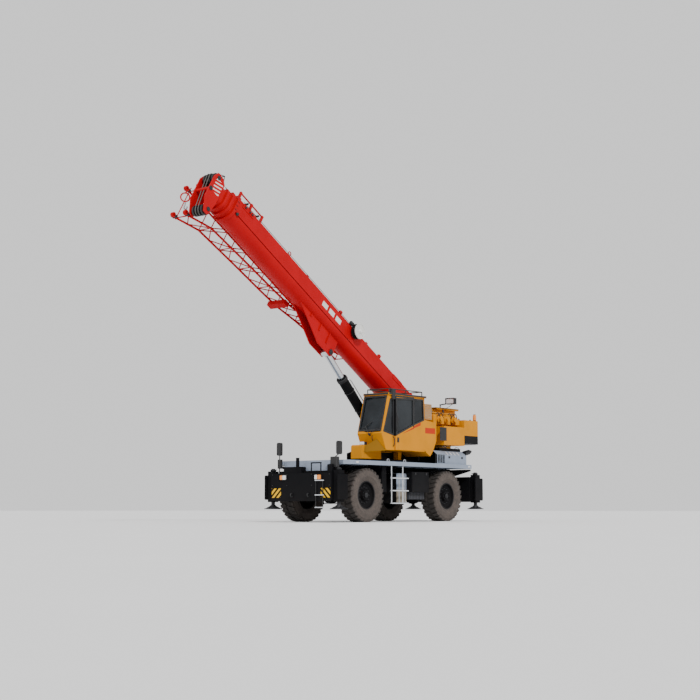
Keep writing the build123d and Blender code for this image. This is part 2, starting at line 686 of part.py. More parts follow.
# Winch drums: name, x, z.
DRUMS = (("winch_main", -2780.0, 3010.0), ("winch_aux", -3295.0, 2960.0))
with BuildPart() as turntable:
    with BuildSketch(Plane.XY.offset(TABLE_Z0)):
        with Locations((-455, 0)):
            RectangleRounded(2290, 1500, 300)
        Circle(400, mode=Mode.SUBTRACT)
    extrude(amount=TABLE_PLATE)
    for side in (-1, 1):
        with BuildSketch(side_plane(side * CHEEK_Y0)):
            with BuildLine():
                Polyline(
                    (780, TABLE_TOP - 1),
                    (CHEEK_LOW_X, TABLE_TOP - 1),
                    (CHEEK_LOW_X - 60, TAIL_Z),
                    (TAIL_X, TAIL_Z),
                    (TAIL_X, WEIGHT_Z1 + 15),
                    (CROWN_X1, CROWN_Z - 220),
                    (CROWN_X1, CROWN_Z),
                    (CROWN_X0, CROWN_Z),
                    (FOOT_X - 220, FOOT_Z + 270),
                    (FOOT_X + 190, FOOT_Z + 230),
                    (FOOT_X + 330, FOOT_Z - 50),
                    (-600, 2380),
                    (300, 2130),
                    (780, 2000),
                    close=True,
                )
            make_face()
        extrude(amount=-side * CHEEK_T)
    with BuildSketch(Plane.XY.offset(TAIL_Z)):
        with Locations(((TAIL_X + CHEEK_LOW_X - 60) / 2, 0)):
            Rectangle(CHEEK_LOW_X - 60 - TAIL_X, 2 * CHEEK_Y0 + 10)
    extrude(amount=30)
    with BuildSketch(Plane.XY.offset(CROWN_Z - 30)):
        with Locations(((CROWN_X0 + CROWN_X1) / 2 - 20, 0)):
            Rectangle(CROWN_X0 - CROWN_X1 - 40, 2 * CROWN_HALF_Y)
    extrude(amount=30)
    with BuildSketch(Plane(origin=(DRUMS[0][1], CHEEK_Y - 1, DRUMS[0][2]), z_dir=(0, 1, 0))):
        Circle(140)
    extrude(amount=121)
    with BuildSketch(Plane(origin=(DRUMS[0][1], CHEEK_Y + 119, DRUMS[0][2]), z_dir=(0, 1, 0))):
        Circle(90)
    extrude(amount=110)
    for side in (-1, 1):
        with BuildSketch(side_plane(side * (FOOT_EYE_HALF + 6))):
            with BuildLine():
                Polyline(
                    (CYL_FOOT_X - 430, TABLE_TOP - 1),
                    (CYL_FOOT_X - 120, CYL_FOOT_Z + 60),
                    (CYL_FOOT_X - 60, CYL_FOOT_Z + 110),
                    (CYL_FOOT_X + 60, CYL_FOOT_Z + 110),
                    (CYL_FOOT_X + 110, CYL_FOOT_Z),
                    (CYL_FOOT_X + 60, CYL_FOOT_Z - 110),
                    (CYL_FOOT_X - 60, TABLE_TOP - 1),
                    close=True,
                )
            make_face()
        extrude(amount=-side * 45)
        with BuildSketch(side_plane(side * (FOOT_EYE_HALF + 6))):
            with Locations((CYL_FOOT_X, CYL_FOOT_Z)):
                Circle(PIN_R)
        extrude(amount=-side * 65)
    with BuildSketch(Plane(origin=(FOOT_X, -CHEEK_Y - 30, FOOT_Z), z_dir=(0, 1, 0))):
        Circle(FOOT_PIN_R)
    extrude(amount=2 * (CHEEK_Y + 30))
finished["turntable"] = turntable

DRUM_R = 175.0
FLANGE_R = 245.0
for name, x, z in DRUMS:
    with BuildPart() as drum:
        with BuildSketch(Plane(origin=(x, -CHEEK_Y0 + SEAT, z), z_dir=(0, 1, 0))):
            Circle(DRUM_R)
        extrude(amount=2 * (CHEEK_Y0 - SEAT))
        for y0 in (-CHEEK_Y0 + 20, CHEEK_Y0 - 42):
            with BuildSketch(Plane(origin=(x, y0, z), z_dir=(0, 1, 0))):
                Circle(FLANGE_R)
            extrude(amount=22)
    finished[name] = drum

with BuildPart() as counterweight:
    with BuildSketch(Plane.XY.offset(WEIGHT_Z0)):
        with BuildLine():
            Polyline(
                (WEIGHT_X0, -UPPER_HALF_Y),
                (WEIGHT_X1 + 170, -UPPER_HALF_Y),
                (WEIGHT_X1, -UPPER_HALF_Y + 210),
                (WEIGHT_X1, UPPER_HALF_Y - 210),
                (WEIGHT_X1 + 170, UPPER_HALF_Y),
                (WEIGHT_X0, UPPER_HALF_Y),
                (WEIGHT_X0, CHEEK_Y + 1),
                (TAIL_X - 1, CHEEK_Y + 1),
                (TAIL_X - 1, -CHEEK_Y - 1),
                (WEIGHT_X0, -CHEEK_Y - 1),
                close=True,
            )
        make_face()
    extrude(amount=WEIGHT_Z1 - WEIGHT_Z0)
finished["counterweight"] = counterweight

with BuildPart() as side_covers:
    for side in (-1, 1):
        with BuildSketch(Plane.XY.offset(2300)):
            with Locations(((WEIGHT_X0 + COVER_FRONT_X) / 2, side * (UPPER_HALF_Y + CHEEK_Y + SEAT) / 2)):
                Rectangle(COVER_FRONT_X - WEIGHT_X0 - 2 * SEAT, UPPER_HALF_Y - CHEEK_Y - SEAT)
        extrude(amount=COVER_H)
    with BuildSketch(Plane.XY.offset(3020)):
        with Locations((-1150, 830)):
            RectangleRounded(370, 740, 20)
    extrude(amount=470)
    with BuildSketch(side_plane(CAB_Y1 - CAB_WALL - SEAT)):
        with BuildLine():
            Polyline(
                (CAB_REAR_X - SEAT, 2100),
                (-1000, 1995),
                (-1140, 1930),
                (-1300, 2105),
                (-1465, 2405),
                (-1465, 2925),
                (CAB_REAR_X - SEAT, 2995),
                close=True,
            )
        make_face()
    extrude(amount=CAB_Y1 - CAB_WALL - CHEEK_Y - 2 * SEAT)
    with BuildSketch(Plane.XY.offset(2890)):
        with Locations((-1150, 830)):
            Rectangle(300, 600)
    extrude(amount=131)
finished["side_covers"] = side_covers

# cab
# Side outline of the cab, forward along the floor and up to the roof.
CAB_SIDE = (
    (CAB_REAR_X, CAB_FLOOR_Z),
    (1060, CAB_FLOOR_Z),
    (1300, 2520),
    (970, CAB_ROOF_Z - 60),
    (CAB_REAR_X, CAB_ROOF_Z - 60),
)
WIN_LEFT_FRONT = ((720, 2495), (1190, 2595), (885, 3505), (720, 3525))
WIN_DOOR = ((-205, 2805), (625, 2490), (630, 3550), (-205, 3575))
WIN_LEFT_REAR = ((-800, 2995), (-310, 2830), (-310, 3575), (-775, 3590))
WIN_RIGHT = ((-700, 2750), (1100, 2650), (900, 3520), (-700, 3520))

with BuildPart() as cab_floor:
    with BuildSketch(Plane.XY.offset(CAB_FLOOR_Z)):
        with Locations(((CAB_REAR_X + 1030) / 2, (CAB_Y0 + CAB_Y1) / 2)):
            Rectangle(1030 - CAB_REAR_X, CAB_Y1 - CAB_Y0)
    extrude(amount=CAB_WALL)
    with BuildSketch(Plane.XY.offset(TABLE_TOP)):
        with Locations((-500, 530), (500, 530)):
            Rectangle(160, 160)
    extrude(amount=CAB_FLOOR_Z - TABLE_TOP)
    with BuildSketch(side_plane(NOSE_BOX_Y1)):
        with BuildLine():
            Polyline(
                (700, NOSE_BOX_Z0),
                (NOSE_BOX_X, NOSE_BOX_Z0),
                (NOSE_BOX_X, 2150),
                (NOSE_BOX_X - 50, NOSE_BOX_Z1),
                (1150, NOSE_BOX_Z1),
                (1081, CAB_FLOOR_Z),
                (700, CAB_FLOOR_Z),
                close=True,
            )
        make_face()
    extrude(amount=NOSE_BOX_Y1 - CAB_Y0)
finished["cab_floor"] = cab_floor

with BuildPart() as cab_left:
    with BuildSketch(side_plane(CAB_Y1)):
        with BuildLine():
            Polyline(
                (CAB_REAR_X, CAB_FLOOR_Z + CAB_WALL),
                (1060, CAB_FLOOR_Z + CAB_WALL),
                (1255, 2520),
                (930, CAB_ROOF_Z - 60),
                (CAB_REAR_X, CAB_ROOF_Z - 60),
                close=True,
            )
        make_face()
        with BuildLine():
            Polyline(*WIN_LEFT_FRONT, close=True)
        make_face(mode=Mode.SUBTRACT)
        with BuildLine():
            Polyline(*WIN_LEFT_REAR, close=True)
        make_face(mode=Mode.SUBTRACT)
        with BuildLine():
            Polyline(
                (DOOR_X0 + 30, CAB_FLOOR_Z + CAB_WALL + 30),
                (DOOR_X1 - 30, CAB_FLOOR_Z + CAB_WALL + 30),
                (DOOR_X1 - 30, 3590),
                (DOOR_X0 + 30, 3590),
                close=True,
            )
        make_face(mode=Mode.SUBTRACT)
    extrude(amount=CAB_WALL)
    with BuildSketch(side_plane(CAB_Y1)):
        with BuildLine():
            Polyline(
                (CAB_REAR_X + 1, 2100),
                (-1000, 1990),
                (-1140, 1925),
                (-1300, 2100),
                (-1470, 2400),
                (-1470, 2930),
                (CAB_REAR_X + 1, 3000),
                close=True,
            )
        make_face()
    extrude(amount=CAB_WALL)
    for z in (CAB_FLOOR_Z + CAB_WALL + 4, CAB_ROOF_Z - 98):
        with BuildSketch(Plane.XY.offset(z)):
            with Locations(((CAB_REAR_X + DOOR_X1) / 2, CAB_Y1 + (DOOR_GAP - SEAT) / 2)):
                Rectangle(DOOR_X1 - CAB_REAR_X, DOOR_GAP - SEAT)
        extrude(amount=22)
finished["cab_left"] = cab_left

with BuildPart() as cab_right:
    with BuildSketch(side_plane(CAB_Y0 + CAB_WALL)):
        with BuildLine():
            Polyline(
                (CAB_REAR_X, CAB_FLOOR_Z + CAB_WALL),
                (1060, CAB_FLOOR_Z + CAB_WALL),
                (1255, 2520),
                (930, CAB_ROOF_Z - 60),
                (CAB_REAR_X, CAB_ROOF_Z - 60),
                close=True,
            )
        make_face()
        with BuildLine():
            Polyline(*WIN_RIGHT, close=True)
        make_face(mode=Mode.SUBTRACT)
    extrude(amount=CAB_WALL)
finished["cab_right"] = cab_right

# Front wall: the windscreen's frame leans back over a lower panel that leans out.
LEAN = degrees(atan2(325, CAB_ROOF_Z - 60 - 2520))
with BuildPart() as cab_front:
    with BuildSketch(side_plane(CAB_Y1)):
        with BuildLine():
            Polyline(
                (1030.5, CAB_FLOOR_Z),
                (1075, CAB_FLOOR_Z),
                (1300, 2520),
                (975, CAB_ROOF_Z - 60),
                (930.5, CAB_ROOF_Z - 60),
                (1255.5, 2520),
                (1060.5, CAB_FLOOR_Z + CAB_WALL),
                (1030.5, CAB_FLOOR_Z + CAB_WALL),
                close=True,
            )
        make_face()
    extrude(amount=CAB_Y1 - CAB_Y0)
    with BuildSketch(Plane.YZ.offset(700)):
        with BuildLine():
            Polyline(
                (CAB_Y0 + SCREEN_EDGE, 2620),
                (CAB_Y0 + 300, 2560),
                (CAB_Y1 - SCREEN_EDGE, 2560),
                (CAB_Y1 - SCREEN_EDGE, 3605),
                (CAB_Y0 + SCREEN_EDGE, 3605),
                close=True,
            )
        make_face()
    extrude(amount=800, mode=Mode.SUBTRACT)
finished["cab_front"] = cab_front

with BuildPart() as cab_rear:
    with BuildSketch(Plane.YZ.offset(CAB_REAR_X)):
        with Locations(((CAB_Y0 + CAB_Y1) / 2, (CAB_FLOOR_Z + CAB_ROOF_Z - 20) / 2)):
            Rectangle(CAB_Y1 - CAB_Y0 - 2 * CAB_WALL - 0.6, CAB_ROOF_Z - 60 - CAB_FLOOR_Z - CAB_WALL)
        with Locations(((CAB_Y0 + CAB_Y1) / 2, 3300)):
            RectangleRounded(620, 440, 60, mode=Mode.SUBTRACT)
    extrude(amount=CAB_WALL)
finished["cab_rear"] = cab_rear

with BuildPart() as cab_roof:
    with BuildSketch(Plane.XY.offset(CAB_ROOF_Z - 60)):
        with BuildLine():
            Polyline(
                (CAB_REAR_X - 40, CAB_Y0 - 10),
                (1000, CAB_Y0 - 10),
                (1000, CAB_Y1 + 45),
                (CAB_REAR_X - 40, CAB_Y1 + 45),
                close=True,
            )
        make_face()
    extrude(amount=60)
finished["cab_roof"] = cab_roof

with BuildPart() as cab_door:
    door_y = CAB_Y1 + DOOR_GAP + DOOR_T
    with BuildSketch(side_plane(door_y)):
        with BuildLine():
            Polyline(
                (DOOR_X0, CAB_FLOOR_Z + 10),
                (DOOR_X1, CAB_FLOOR_Z + 10),
                (DOOR_X1, CAB_ROOF_Z - 70),
                (DOOR_X0, CAB_ROOF_Z - 70),
                close=True,
            )
        make_face()
        with BuildLine():
            Polyline(*WIN_DOOR, close=True)
        make_face(mode=Mode.SUBTRACT)
    extrude(amount=DOOR_T)
finished["cab_door"] = cab_door


def pane(outline, y):
    """Glass pane in a side wall, a clearance smaller all round than its window."""
    with BuildSketch(side_plane(y)) as glass:
        with BuildLine():
            Polyline(*outline, close=True)
        make_face()
        offset(amount=-GLASS_GAP, kind=Kind.INTERSECTION, mode=Mode.REPLACE)
    extrude(glass.sketch, amount=GLASS_T)


with BuildPart() as cab_glass:
    pane(WIN_LEFT_FRONT, CAB_Y1 - 16)
    pane(WIN_LEFT_REAR, CAB_Y1 - 16)
    pane(WIN_RIGHT, CAB_Y0 + 24)
    with BuildSketch(Plane.YZ.offset(CAB_REAR_X + 16)):
        with Locations(((CAB_Y0 + CAB_Y1) / 2, 3300)):
            RectangleRounded(620 - 0.6, 440 - 0.6, 60)
    extrude(amount=GLASS_T)
    with BuildSketch(side_plane(CAB_Y1 - SCREEN_EDGE + 5)):
        with BuildLine():
            Polyline(
                (1300 - 26, 2500),
                (1300 - 18, 2500),
                (1300 - 18 - 325 * 1.03, CAB_ROOF_Z - 62),
                (1300 - 26 - 325 * 1.03, CAB_ROOF_Z - 62),
                close=True,
            )
        make_face()
    screen = extrude(amount=CAB_Y1 - CAB_Y0 - 2 * SCREEN_EDGE + 10, mode=Mode.PRIVATE)
    with BuildSketch(Plane.YZ.offset(700)):
        with BuildLine():
            Polyline(
                (CAB_Y0 + SCREEN_EDGE + GLASS_GAP, 2620 + GLASS_GAP),
                (CAB_Y0 + 300, 2560 + GLASS_GAP),
                (CAB_Y1 - SCREEN_EDGE - GLASS_GAP, 2560 + GLASS_GAP),
                (CAB_Y1 - SCREEN_EDGE - GLASS_GAP, 3605 - GLASS_GAP),
                (CAB_Y0 + SCREEN_EDGE + GLASS_GAP, 3605 - GLASS_GAP),
                close=True,
            )
        make_face()
    window = extrude(amount=800, mode=Mode.PRIVATE)
    add(screen & window)
finished["cab_glass"] = cab_glass

with BuildPart() as door_glass:
    pane(WIN_DOOR, CAB_Y1 + DOOR_GAP + DOOR_T - 16)
finished["door_glass"] = door_glass

with BuildPart() as cab_interior:
    with BuildSketch(Plane.XY.offset(CAB_FLOOR_Z + CAB_WALL)):
        with Locations((-330, 850)):
            RectangleRounded(380, 380, 60)
    extrude(amount=300, taper=-4)
    with BuildSketch(Plane.XY.offset(CAB_FLOOR_Z + CAB_WALL + 300)):
        with Locations((-300, 850)):
            RectangleRounded(480, 500, 80)
    extrude(amount=130)
    with BuildSketch(Plane.XZ.offset(-600)):
        with BuildLine():
            Polyline(
                (-540, CAB_FLOOR_Z + 460),
                (-440, CAB_FLOOR_Z + 460),
                (-560, CAB_FLOOR_Z + 1180),
                (-660, CAB_FLOOR_Z + 1180),
                close=True,
            )
        make_face()
    extrude(amount=-500)
    with BuildSketch(Plane.XY.offset(CAB_FLOOR_Z + CAB_WALL)):
        with Locations((820, 850)):
            RectangleRounded(200, 480, 40)
    extrude(amount=520)
    tube((800, 850, CAB_FLOOR_Z + 540), (600, 850, CAB_FLOOR_Z + 760), 30)
finished["cab_interior"] = cab_interior

with BuildPart() as roof_rail:
    rail_z = CAB_ROOF_Z + 120
    for a, b in (
        ((880, CAB_Y1 - 30), (880, CAB_Y0 + 60)),
        ((-760, CAB_Y1 - 30), (-760, CAB_Y0 + 60)),
        ((880, CAB_Y1 - 30), (-760, CAB_Y1 - 30)),
        ((880, CAB_Y0 + 60), (-760, CAB_Y0 + 60)),
    ):
        tube((a[0], a[1], rail_z), (b[0], b[1], rail_z), 15)
    for x in (880, 60, -760):
        for y in (CAB_Y1 - 30, CAB_Y0 + 60):
            tube((x, y, CAB_ROOF_Z), (x, y, rail_z), 15)
finished["roof_rail"] = roof_rail

with BuildPart() as work_lamps:
    with BuildSketch(Plane.XY.offset(CAB_ROOF_Z)):
        with Locations((730, 1250)):
            RectangleRounded(220, 110, 20)
    extrude(amount=100)
    with BuildSketch(Plane.XY.offset(NOSE_BOX_Z1)):
        with Locations((1400, 700)):
            RectangleRounded(150, 190, 40)
    extrude(amount=90)
    lamp_x = -2850.0
    tube((lamp_x, 480, CROWN_Z), (lamp_x, 480, 3600), 18)
    tube((lamp_x, 462, 3600), (lamp_x, 900, 3640), 18)
    with BuildSketch(Plane.XY.offset(3600)):
        with Locations((lamp_x, 900)):
            RectangleRounded(140, 320, 30)
    extrude(amount=190)
    with BuildSketch(Plane.XY.offset(WEIGHT_Z1)):
        with Locations((-3740, 1175)):
            Circle(50)
    extrude(amount=220, taper=3)
finished["work_lamps"] = work_lamps

# boom sections


def boom_profile(level, plane):
    """Outer outline of a section: a box above the seam, half an ellipse below it."""
    inset = level * BOOM_STEP
    w = BOOM_HALF_W - inset
    top = BOOM_TOP - inset * 1.25
    with BuildSketch(plane) as profile:
        with BuildLine():
            Line((-w, SEAM_W), (-w, top - 70))
            Line((-w, top - 70), (-w + 70, top))
            Line((-w + 70, top), (w - 70, top))
            Line((w - 70, top), (w, top - 70))
            Line((w, top - 70), (w, SEAM_W))
            EllipticalCenterArc((0, SEAM_W), w, SEAM_W - BOOM_BOTTOM - inset, start_angle=180, arc_size=180)
        make_face()
    return profile.sketch


def boom_shell(level, u0, u1):
    """One hollow section between two places along the boom."""
    extrude(boom_profile(level, boom_plane(u0)), amount=u1 - u0)
    bore = boom_profile(level + BOOM_WALL / BOOM_STEP, boom_plane(u0 - 1))
    extrude(bore, amount=u1 - u0 + 2, mode=Mode.SUBTRACT)


def boom_collar(level, u0, u1):
    """Thick collar round the open end of a section."""
    extrude(boom_profile(level - COLLAR_H / BOOM_STEP, boom_plane(u0)), amount=u1 - u0)
    bore = boom_profile(level + 1 - PAD_GAP / BOOM_STEP, boom_plane(u0 - 1))
    extrude(bore, amount=u1 - u0 + 2, mode=Mode.SUBTRACT)


with BuildPart() as boom_base:
    extrude(boom_profile(0, boom_plane(BOOM_TAIL)), amount=BASE_END - BOOM_TAIL)
    with BuildSketch(boom_side_plane(BOOM_HALF_W + 10)):
        with BuildLine():
            Polyline((BOOM_TAIL - 10, 150), (BOOM_TAIL - 10, 700), (560, 700), (560, BOOM_TOP), close=True)
        make_face()
        with BuildLine():
            Polyline((BOOM_TAIL - 10, -90), (BOOM_TAIL - 10, -600), (460, -600), (460, BOOM_BOTTOM), close=True)
        make_face()
    extrude(amount=2 * BOOM_HALF_W + 20, mode=Mode.SUBTRACT)
    bore = boom_profile(BOOM_WALL / BOOM_STEP, boom_plane(BORE_U))
    extrude(bore, amount=BASE_END - BORE_U + 1, mode=Mode.SUBTRACT)
    boom_collar(0, BASE_END - COLLAR_L, BASE_END)
    with BuildSketch(Plane(origin=(FOOT_X, -BOOM_HALF_W - 12, FOOT_Z), z_dir=(0, 1, 0))):
        Circle(170)
    extrude(amount=2 * (BOOM_HALF_W + 12))
    with BuildSketch(Plane(origin=(FOOT_X, -BOOM_HALF_W - 20, FOOT_Z), z_dir=(0, 1, 0))):
        Circle(FOOT_PIN_R + PIN_GAP)
    extrude(amount=2 * (BOOM_HALF_W + 20), mode=Mode.SUBTRACT)
    for side in (-1, 1):
        with BuildSketch(boom_side_plane(side * (EYE_R + 14))):
            with BuildLine():
                Polyline(
                    (EYE_U - 130, BOOM_BOTTOM + 100),
                    (EYE_U - 120, EYE_W),
                    (EYE_U - 60, EYE_W - 110),
                    (EYE_U + 600, EYE_W - 120),
                    (EYE_U + 1860, BOOM_BOTTOM + 60),
                    (EYE_U + 1860, BOOM_BOTTOM + 100),
                    close=True,
                )
            make_face()
        extrude(amount=-side * 35)
    with BuildSketch(boom_side_plane(EYE_R + 64)):
        with Locations((EYE_U, EYE_W)):
            Circle(PIN_R)
    extrude(amount=2 * (EYE_R + 64))
    bore = boom_profile(BOOM_WALL / BOOM_STEP, boom_plane(BORE_U))
    extrude(bore, amount=BASE_END - BORE_U - COLLAR_L, mode=Mode.SUBTRACT)
finished["boom_base"] = boom_base

SECTIONS = ((1, 600.0, BASE_END + SECTION_SHOW), (2, 800.0, BASE_END + 2 * SECTION_SHOW))
for level, u0, u1 in SECTIONS:
    with BuildPart() as section:
        boom_shell(level, u0, u1)
        boom_collar(level, u1 - COLLAR_L + 10, u1)
    finished["boom_section_%d" % (level + 1)] = section

with BuildPart() as boom_section_4:
    boom_shell(3, 1000.0, HEAD_START + 20)
    inset = 3 * BOOM_STEP
    for side in (-1, 1):
        with BuildSketch(boom_side_plane(side * (BOOM_HALF_W - inset + 40))):
            with BuildLine():
                Polyline(
                    (HEAD_START - 60, -200),
                    (HEAD_START - 60, 440),
                    (HEAD_START + 60, 560),
                    (HEAD_START + 290, 590),
                    (HEAD_START + HEAD_L, 430),
                    (HEAD_START + HEAD_L, -260),
                    (HEAD_START + 190, -640),
                    (HEAD_START + 30, -640),
                    close=True,
                )
            make_face()
        extrude(amount=side * 40)
    for u, w in (TOP_SHEAVE, LOW_SHEAVE, (HEAD_START + 310, 40)):
        x, z = boom_xz(u, w)
        y = BOOM_HALF_W - inset + 55
        with BuildSketch(Plane(origin=(x, -y, z), z_dir=(0, 1, 0))):
            Circle(45)
        extrude(amount=2 * y)
finished["boom_section_4"] = boom_section_4

with BuildPart() as head_sheaves:
    for u, w in (TOP_SHEAVE, LOW_SHEAVE):
        x, z = boom_xz(u, w)
        for y in (-150, -50, 50, 150):
            with BuildSketch(Plane(origin=(x, y - SHEAVE_W / 2, z), z_dir=(0, 1, 0))):
                Circle(SHEAVE_R)
                Circle(45.3, mode=Mode.SUBTRACT)
            extrude(amount=SHEAVE_W)
finished["head_sheaves"] = head_sheaves

# luffing cylinder
EYE_X, EYE_Z = boom_xz(EYE_U, EYE_W)
CYL_RUN = Vector(EYE_X - CYL_FOOT_X, 0, EYE_Z - CYL_FOOT_Z)
CYL_L = CYL_RUN.length
CYL_DIR = CYL_RUN.normalized()


def cyl_plane(s):
    """Plane across the cylinder at distance s from its foot pin."""
    p = CYL_DIR * s
    return Plane(origin=(CYL_FOOT_X + p.X, 0, CYL_FOOT_Z + p.Z), x_dir=(0, 1, 0), z_dir=CYL_DIR)


with BuildPart() as cylinder_barrel:
    with BuildSketch(cyl_plane(BARREL_START)):
        Circle(BARREL_R)
    extrude(amount=BARREL_END - BARREL_START)
    with BuildSketch(cyl_plane(BARREL_START + 60)):
        Circle(BARREL_BORE_R)
    extrude(amount=BARREL_END - BARREL_START - 60 - 80, mode=Mode.SUBTRACT)
    with BuildSketch(cyl_plane(0)):
        Rectangle(160, 180)
    extrude(amount=BARREL_START + 10)
    with BuildSketch(cyl_plane(BARREL_END - 100)):
        Circle(ROD_R + ROD_GAP)
    extrude(amount=110, mode=Mode.SUBTRACT)
    with BuildSketch(side_plane(FOOT_EYE_HALF)):
        with Locations((CYL_FOOT_X, CYL_FOOT_Z)):
            Circle(FOOT_EYE_R)
    extrude(amount=2 * FOOT_EYE_HALF)
    with BuildSketch(side_plane(FOOT_EYE_HALF + 5)):
        with Locations((CYL_FOOT_X, CYL_FOOT_Z)):
            Circle(PIN_R + 5)
    extrude(amount=2 * FOOT_EYE_HALF + 10, mode=Mode.SUBTRACT)
finished["cylinder_barrel"] = cylinder_barrel

with BuildPart() as cylinder_rod:
    with BuildSketch(cyl_plane(CYL_L - ROD_LENGTH)):
        Circle(BARREL_BORE_R - ROD_GAP)
    extrude(amount=150)
    with BuildSketch(cyl_plane(CYL_L - ROD_LENGTH)):
        Circle(ROD_R)
    extrude(amount=ROD_LENGTH - 70)
    with BuildSketch(Plane(origin=(EYE_X, -EYE_R, EYE_Z), z_dir=(0, 1, 0))):
        Circle(EYE_R)
    extrude(amount=2 * EYE_R)
    with BuildSketch(Plane(origin=(EYE_X, -EYE_R - 5, EYE_Z), z_dir=(0, 1, 0))):
        Circle(PIN_R + PIN_GAP)
    extrude(amount=2 * EYE_R + 10, mode=Mode.SUBTRACT)
finished["cylinder_rod"] = cylinder_rod

# lattice jib
# Corner heights of the jib at each station: u, lower chord, upper chord.
JIB_STATIONS = (
    (JIB_ROOT_U, JIB_ROOT_LOW, 370.0),
    (9900.0, -285.0, 380.0),
    (9000.0, -232.0, 390.0),
    (8100.0, -180.0, 390.0),
    (7200.0, -140.0, 390.0),
    (6300.0, -85.0, 390.0),
    (5400.0, 60.0, 395.0),
    (4500.0, 150.0, 400.0),
    (JIB_TIP_U, 200.0, 400.0),
)


def jib_point(u, y, w):
    x, z = boom_xz(u, w)
    return (x, y, z)


with BuildPart() as jib:
    for y in (JIB_Y0, JIB_Y1):
        for a, b in zip(JIB_STATIONS[:-1], JIB_STATIONS[1:]):
            bar(jib_point(a[0], y, a[1]), jib_point(b[0], y, b[1]), JIB_CHORD_R, 8)
            bar(jib_point(a[0], y, a[2]), jib_point(b[0], y, b[2]), JIB_CHORD_R, 8)
    for k, (a, b) in enumerate(zip(JIB_STATIONS[:-1], JIB_STATIONS[1:])):
        mid = (a[0] + b[0]) / 2
        low = (a[1] + b[1]) / 2
        bar(jib_point(a[0], JIB_Y0, a[1]), jib_point(mid, JIB_Y1, low), JIB_LACE_R, 6)
        bar(jib_point(mid, JIB_Y1, low), jib_point(b[0], JIB_Y0, b[1]), JIB_LACE_R, 6)
        bar(jib_point(a[0], JIB_Y1, a[1]), jib_point(a[0], JIB_Y0, a[1]), JIB_LACE_R, 6)
        bar(jib_point(a[0], JIB_Y1, a[2]), jib_point(a[0], JIB_Y0, a[2]), JIB_LACE_R, 6)
        for y in (JIB_Y0, JIB_Y1):
            bar(jib_point(a[0], y, a[1]), jib_point(a[0], y, a[2]), JIB_LACE_R, 6)
            bar(jib_point(a[0], y, a[1]), jib_point(b[0], y, b[2]), JIB_LACE_R, 6)
    end = JIB_STATIONS[-1]
    for y in (JIB_Y0, JIB_Y1):
        bar(jib_point(end[0], y, end[1]), jib_point(end[0], y, end[2]), JIB_LACE_R, 6)
    for w in (end[1], end[2]):
        bar(jib_point(end[0], JIB_Y0, w), jib_point(end[0], JIB_Y1, w), JIB_LACE_R, 6)
    root = JIB_STATIONS[0]
    for y in (JIB_Y0, JIB_Y1):
        for w in (root[1], root[2]):
            bar(jib_point(root[0] - 20, y, w), jib_point(root[0] + 90, y, w), 42, 12)
            x, z = boom_xz(root[0] + JIB_LUG_REACH, w)
            with BuildSketch(Plane(origin=(x, y - 40, z), z_dir=(0, 1, 0))):
                Circle(JIB_LUG_R)
            extrude(amount=80)
            with BuildSketch(Plane(origin=(x, y - 45, z), z_dir=(0, 1, 0))):
                Circle(JIB_PIN_R)
            extrude(amount=90, mode=Mode.SUBTRACT)
    for u in (9300.0, 6500.0):
        low, high = 70.0, 300.0
        with BuildSketch(boom_plane(u)):
            with BuildLine():
                Polyline(
                    (-BOOM_HALF_W, high),
                    (JIB_Y0 + 10, high),
                    (JIB_Y0 - 30, high - 60),
                    (JIB_Y0 - 30, low + 60),
                    (JIB_Y0 + 10, low),
                    (-BOOM_HALF_W, low),
                    close=True,
                )
            make_face()
        extrude(amount=60)
finished["jib"] = jib

with BuildPart() as cable_reel:
    x, z = boom_xz(REEL_U, REEL_W)
    with BuildSketch(Plane(origin=(x, BOOM_HALF_W, z), z_dir=(0, 1, 0))):
        Circle(65)
    extrude(amount=70)
    with BuildSketch(Plane(origin=(x, BOOM_HALF_W + 60, z), z_dir=(0, 1, 0))):
        Circle(REEL_R)
    extrude(amount=24)
    with BuildSketch(Plane(origin=(x, BOOM_HALF_W + 80, z), z_dir=(0, 1, 0))):
        Circle(REEL_R - 30)
    extrude(amount=110)
    with BuildSketch(Plane(origin=(x, BOOM_HALF_W + 186, z), z_dir=(0, 1, 0))):
        Circle(REEL_R)
    extrude(amount=24)
finished["cable_reel"] = cable_reel

# write the pieces
for name, builder in finished.items():
    builder.part.label = name
    export_step(builder.part.moved(TO_MIDDLE), "parts/" + name + ".step")
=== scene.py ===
"""Looks of a two-axle rough-terrain crane.

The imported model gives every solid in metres. This file gives each one its finish and adds
the fine pieces that the solids leave out: ropes, trim, hoses, hooks and small fittings.
"""
from __future__ import annotations

import json
import logging
import math
from dataclasses import dataclass, field
from enum import Enum
from typing import Callable, Iterable, Sequence

import bpy
from mathutils import Matrix, Vector

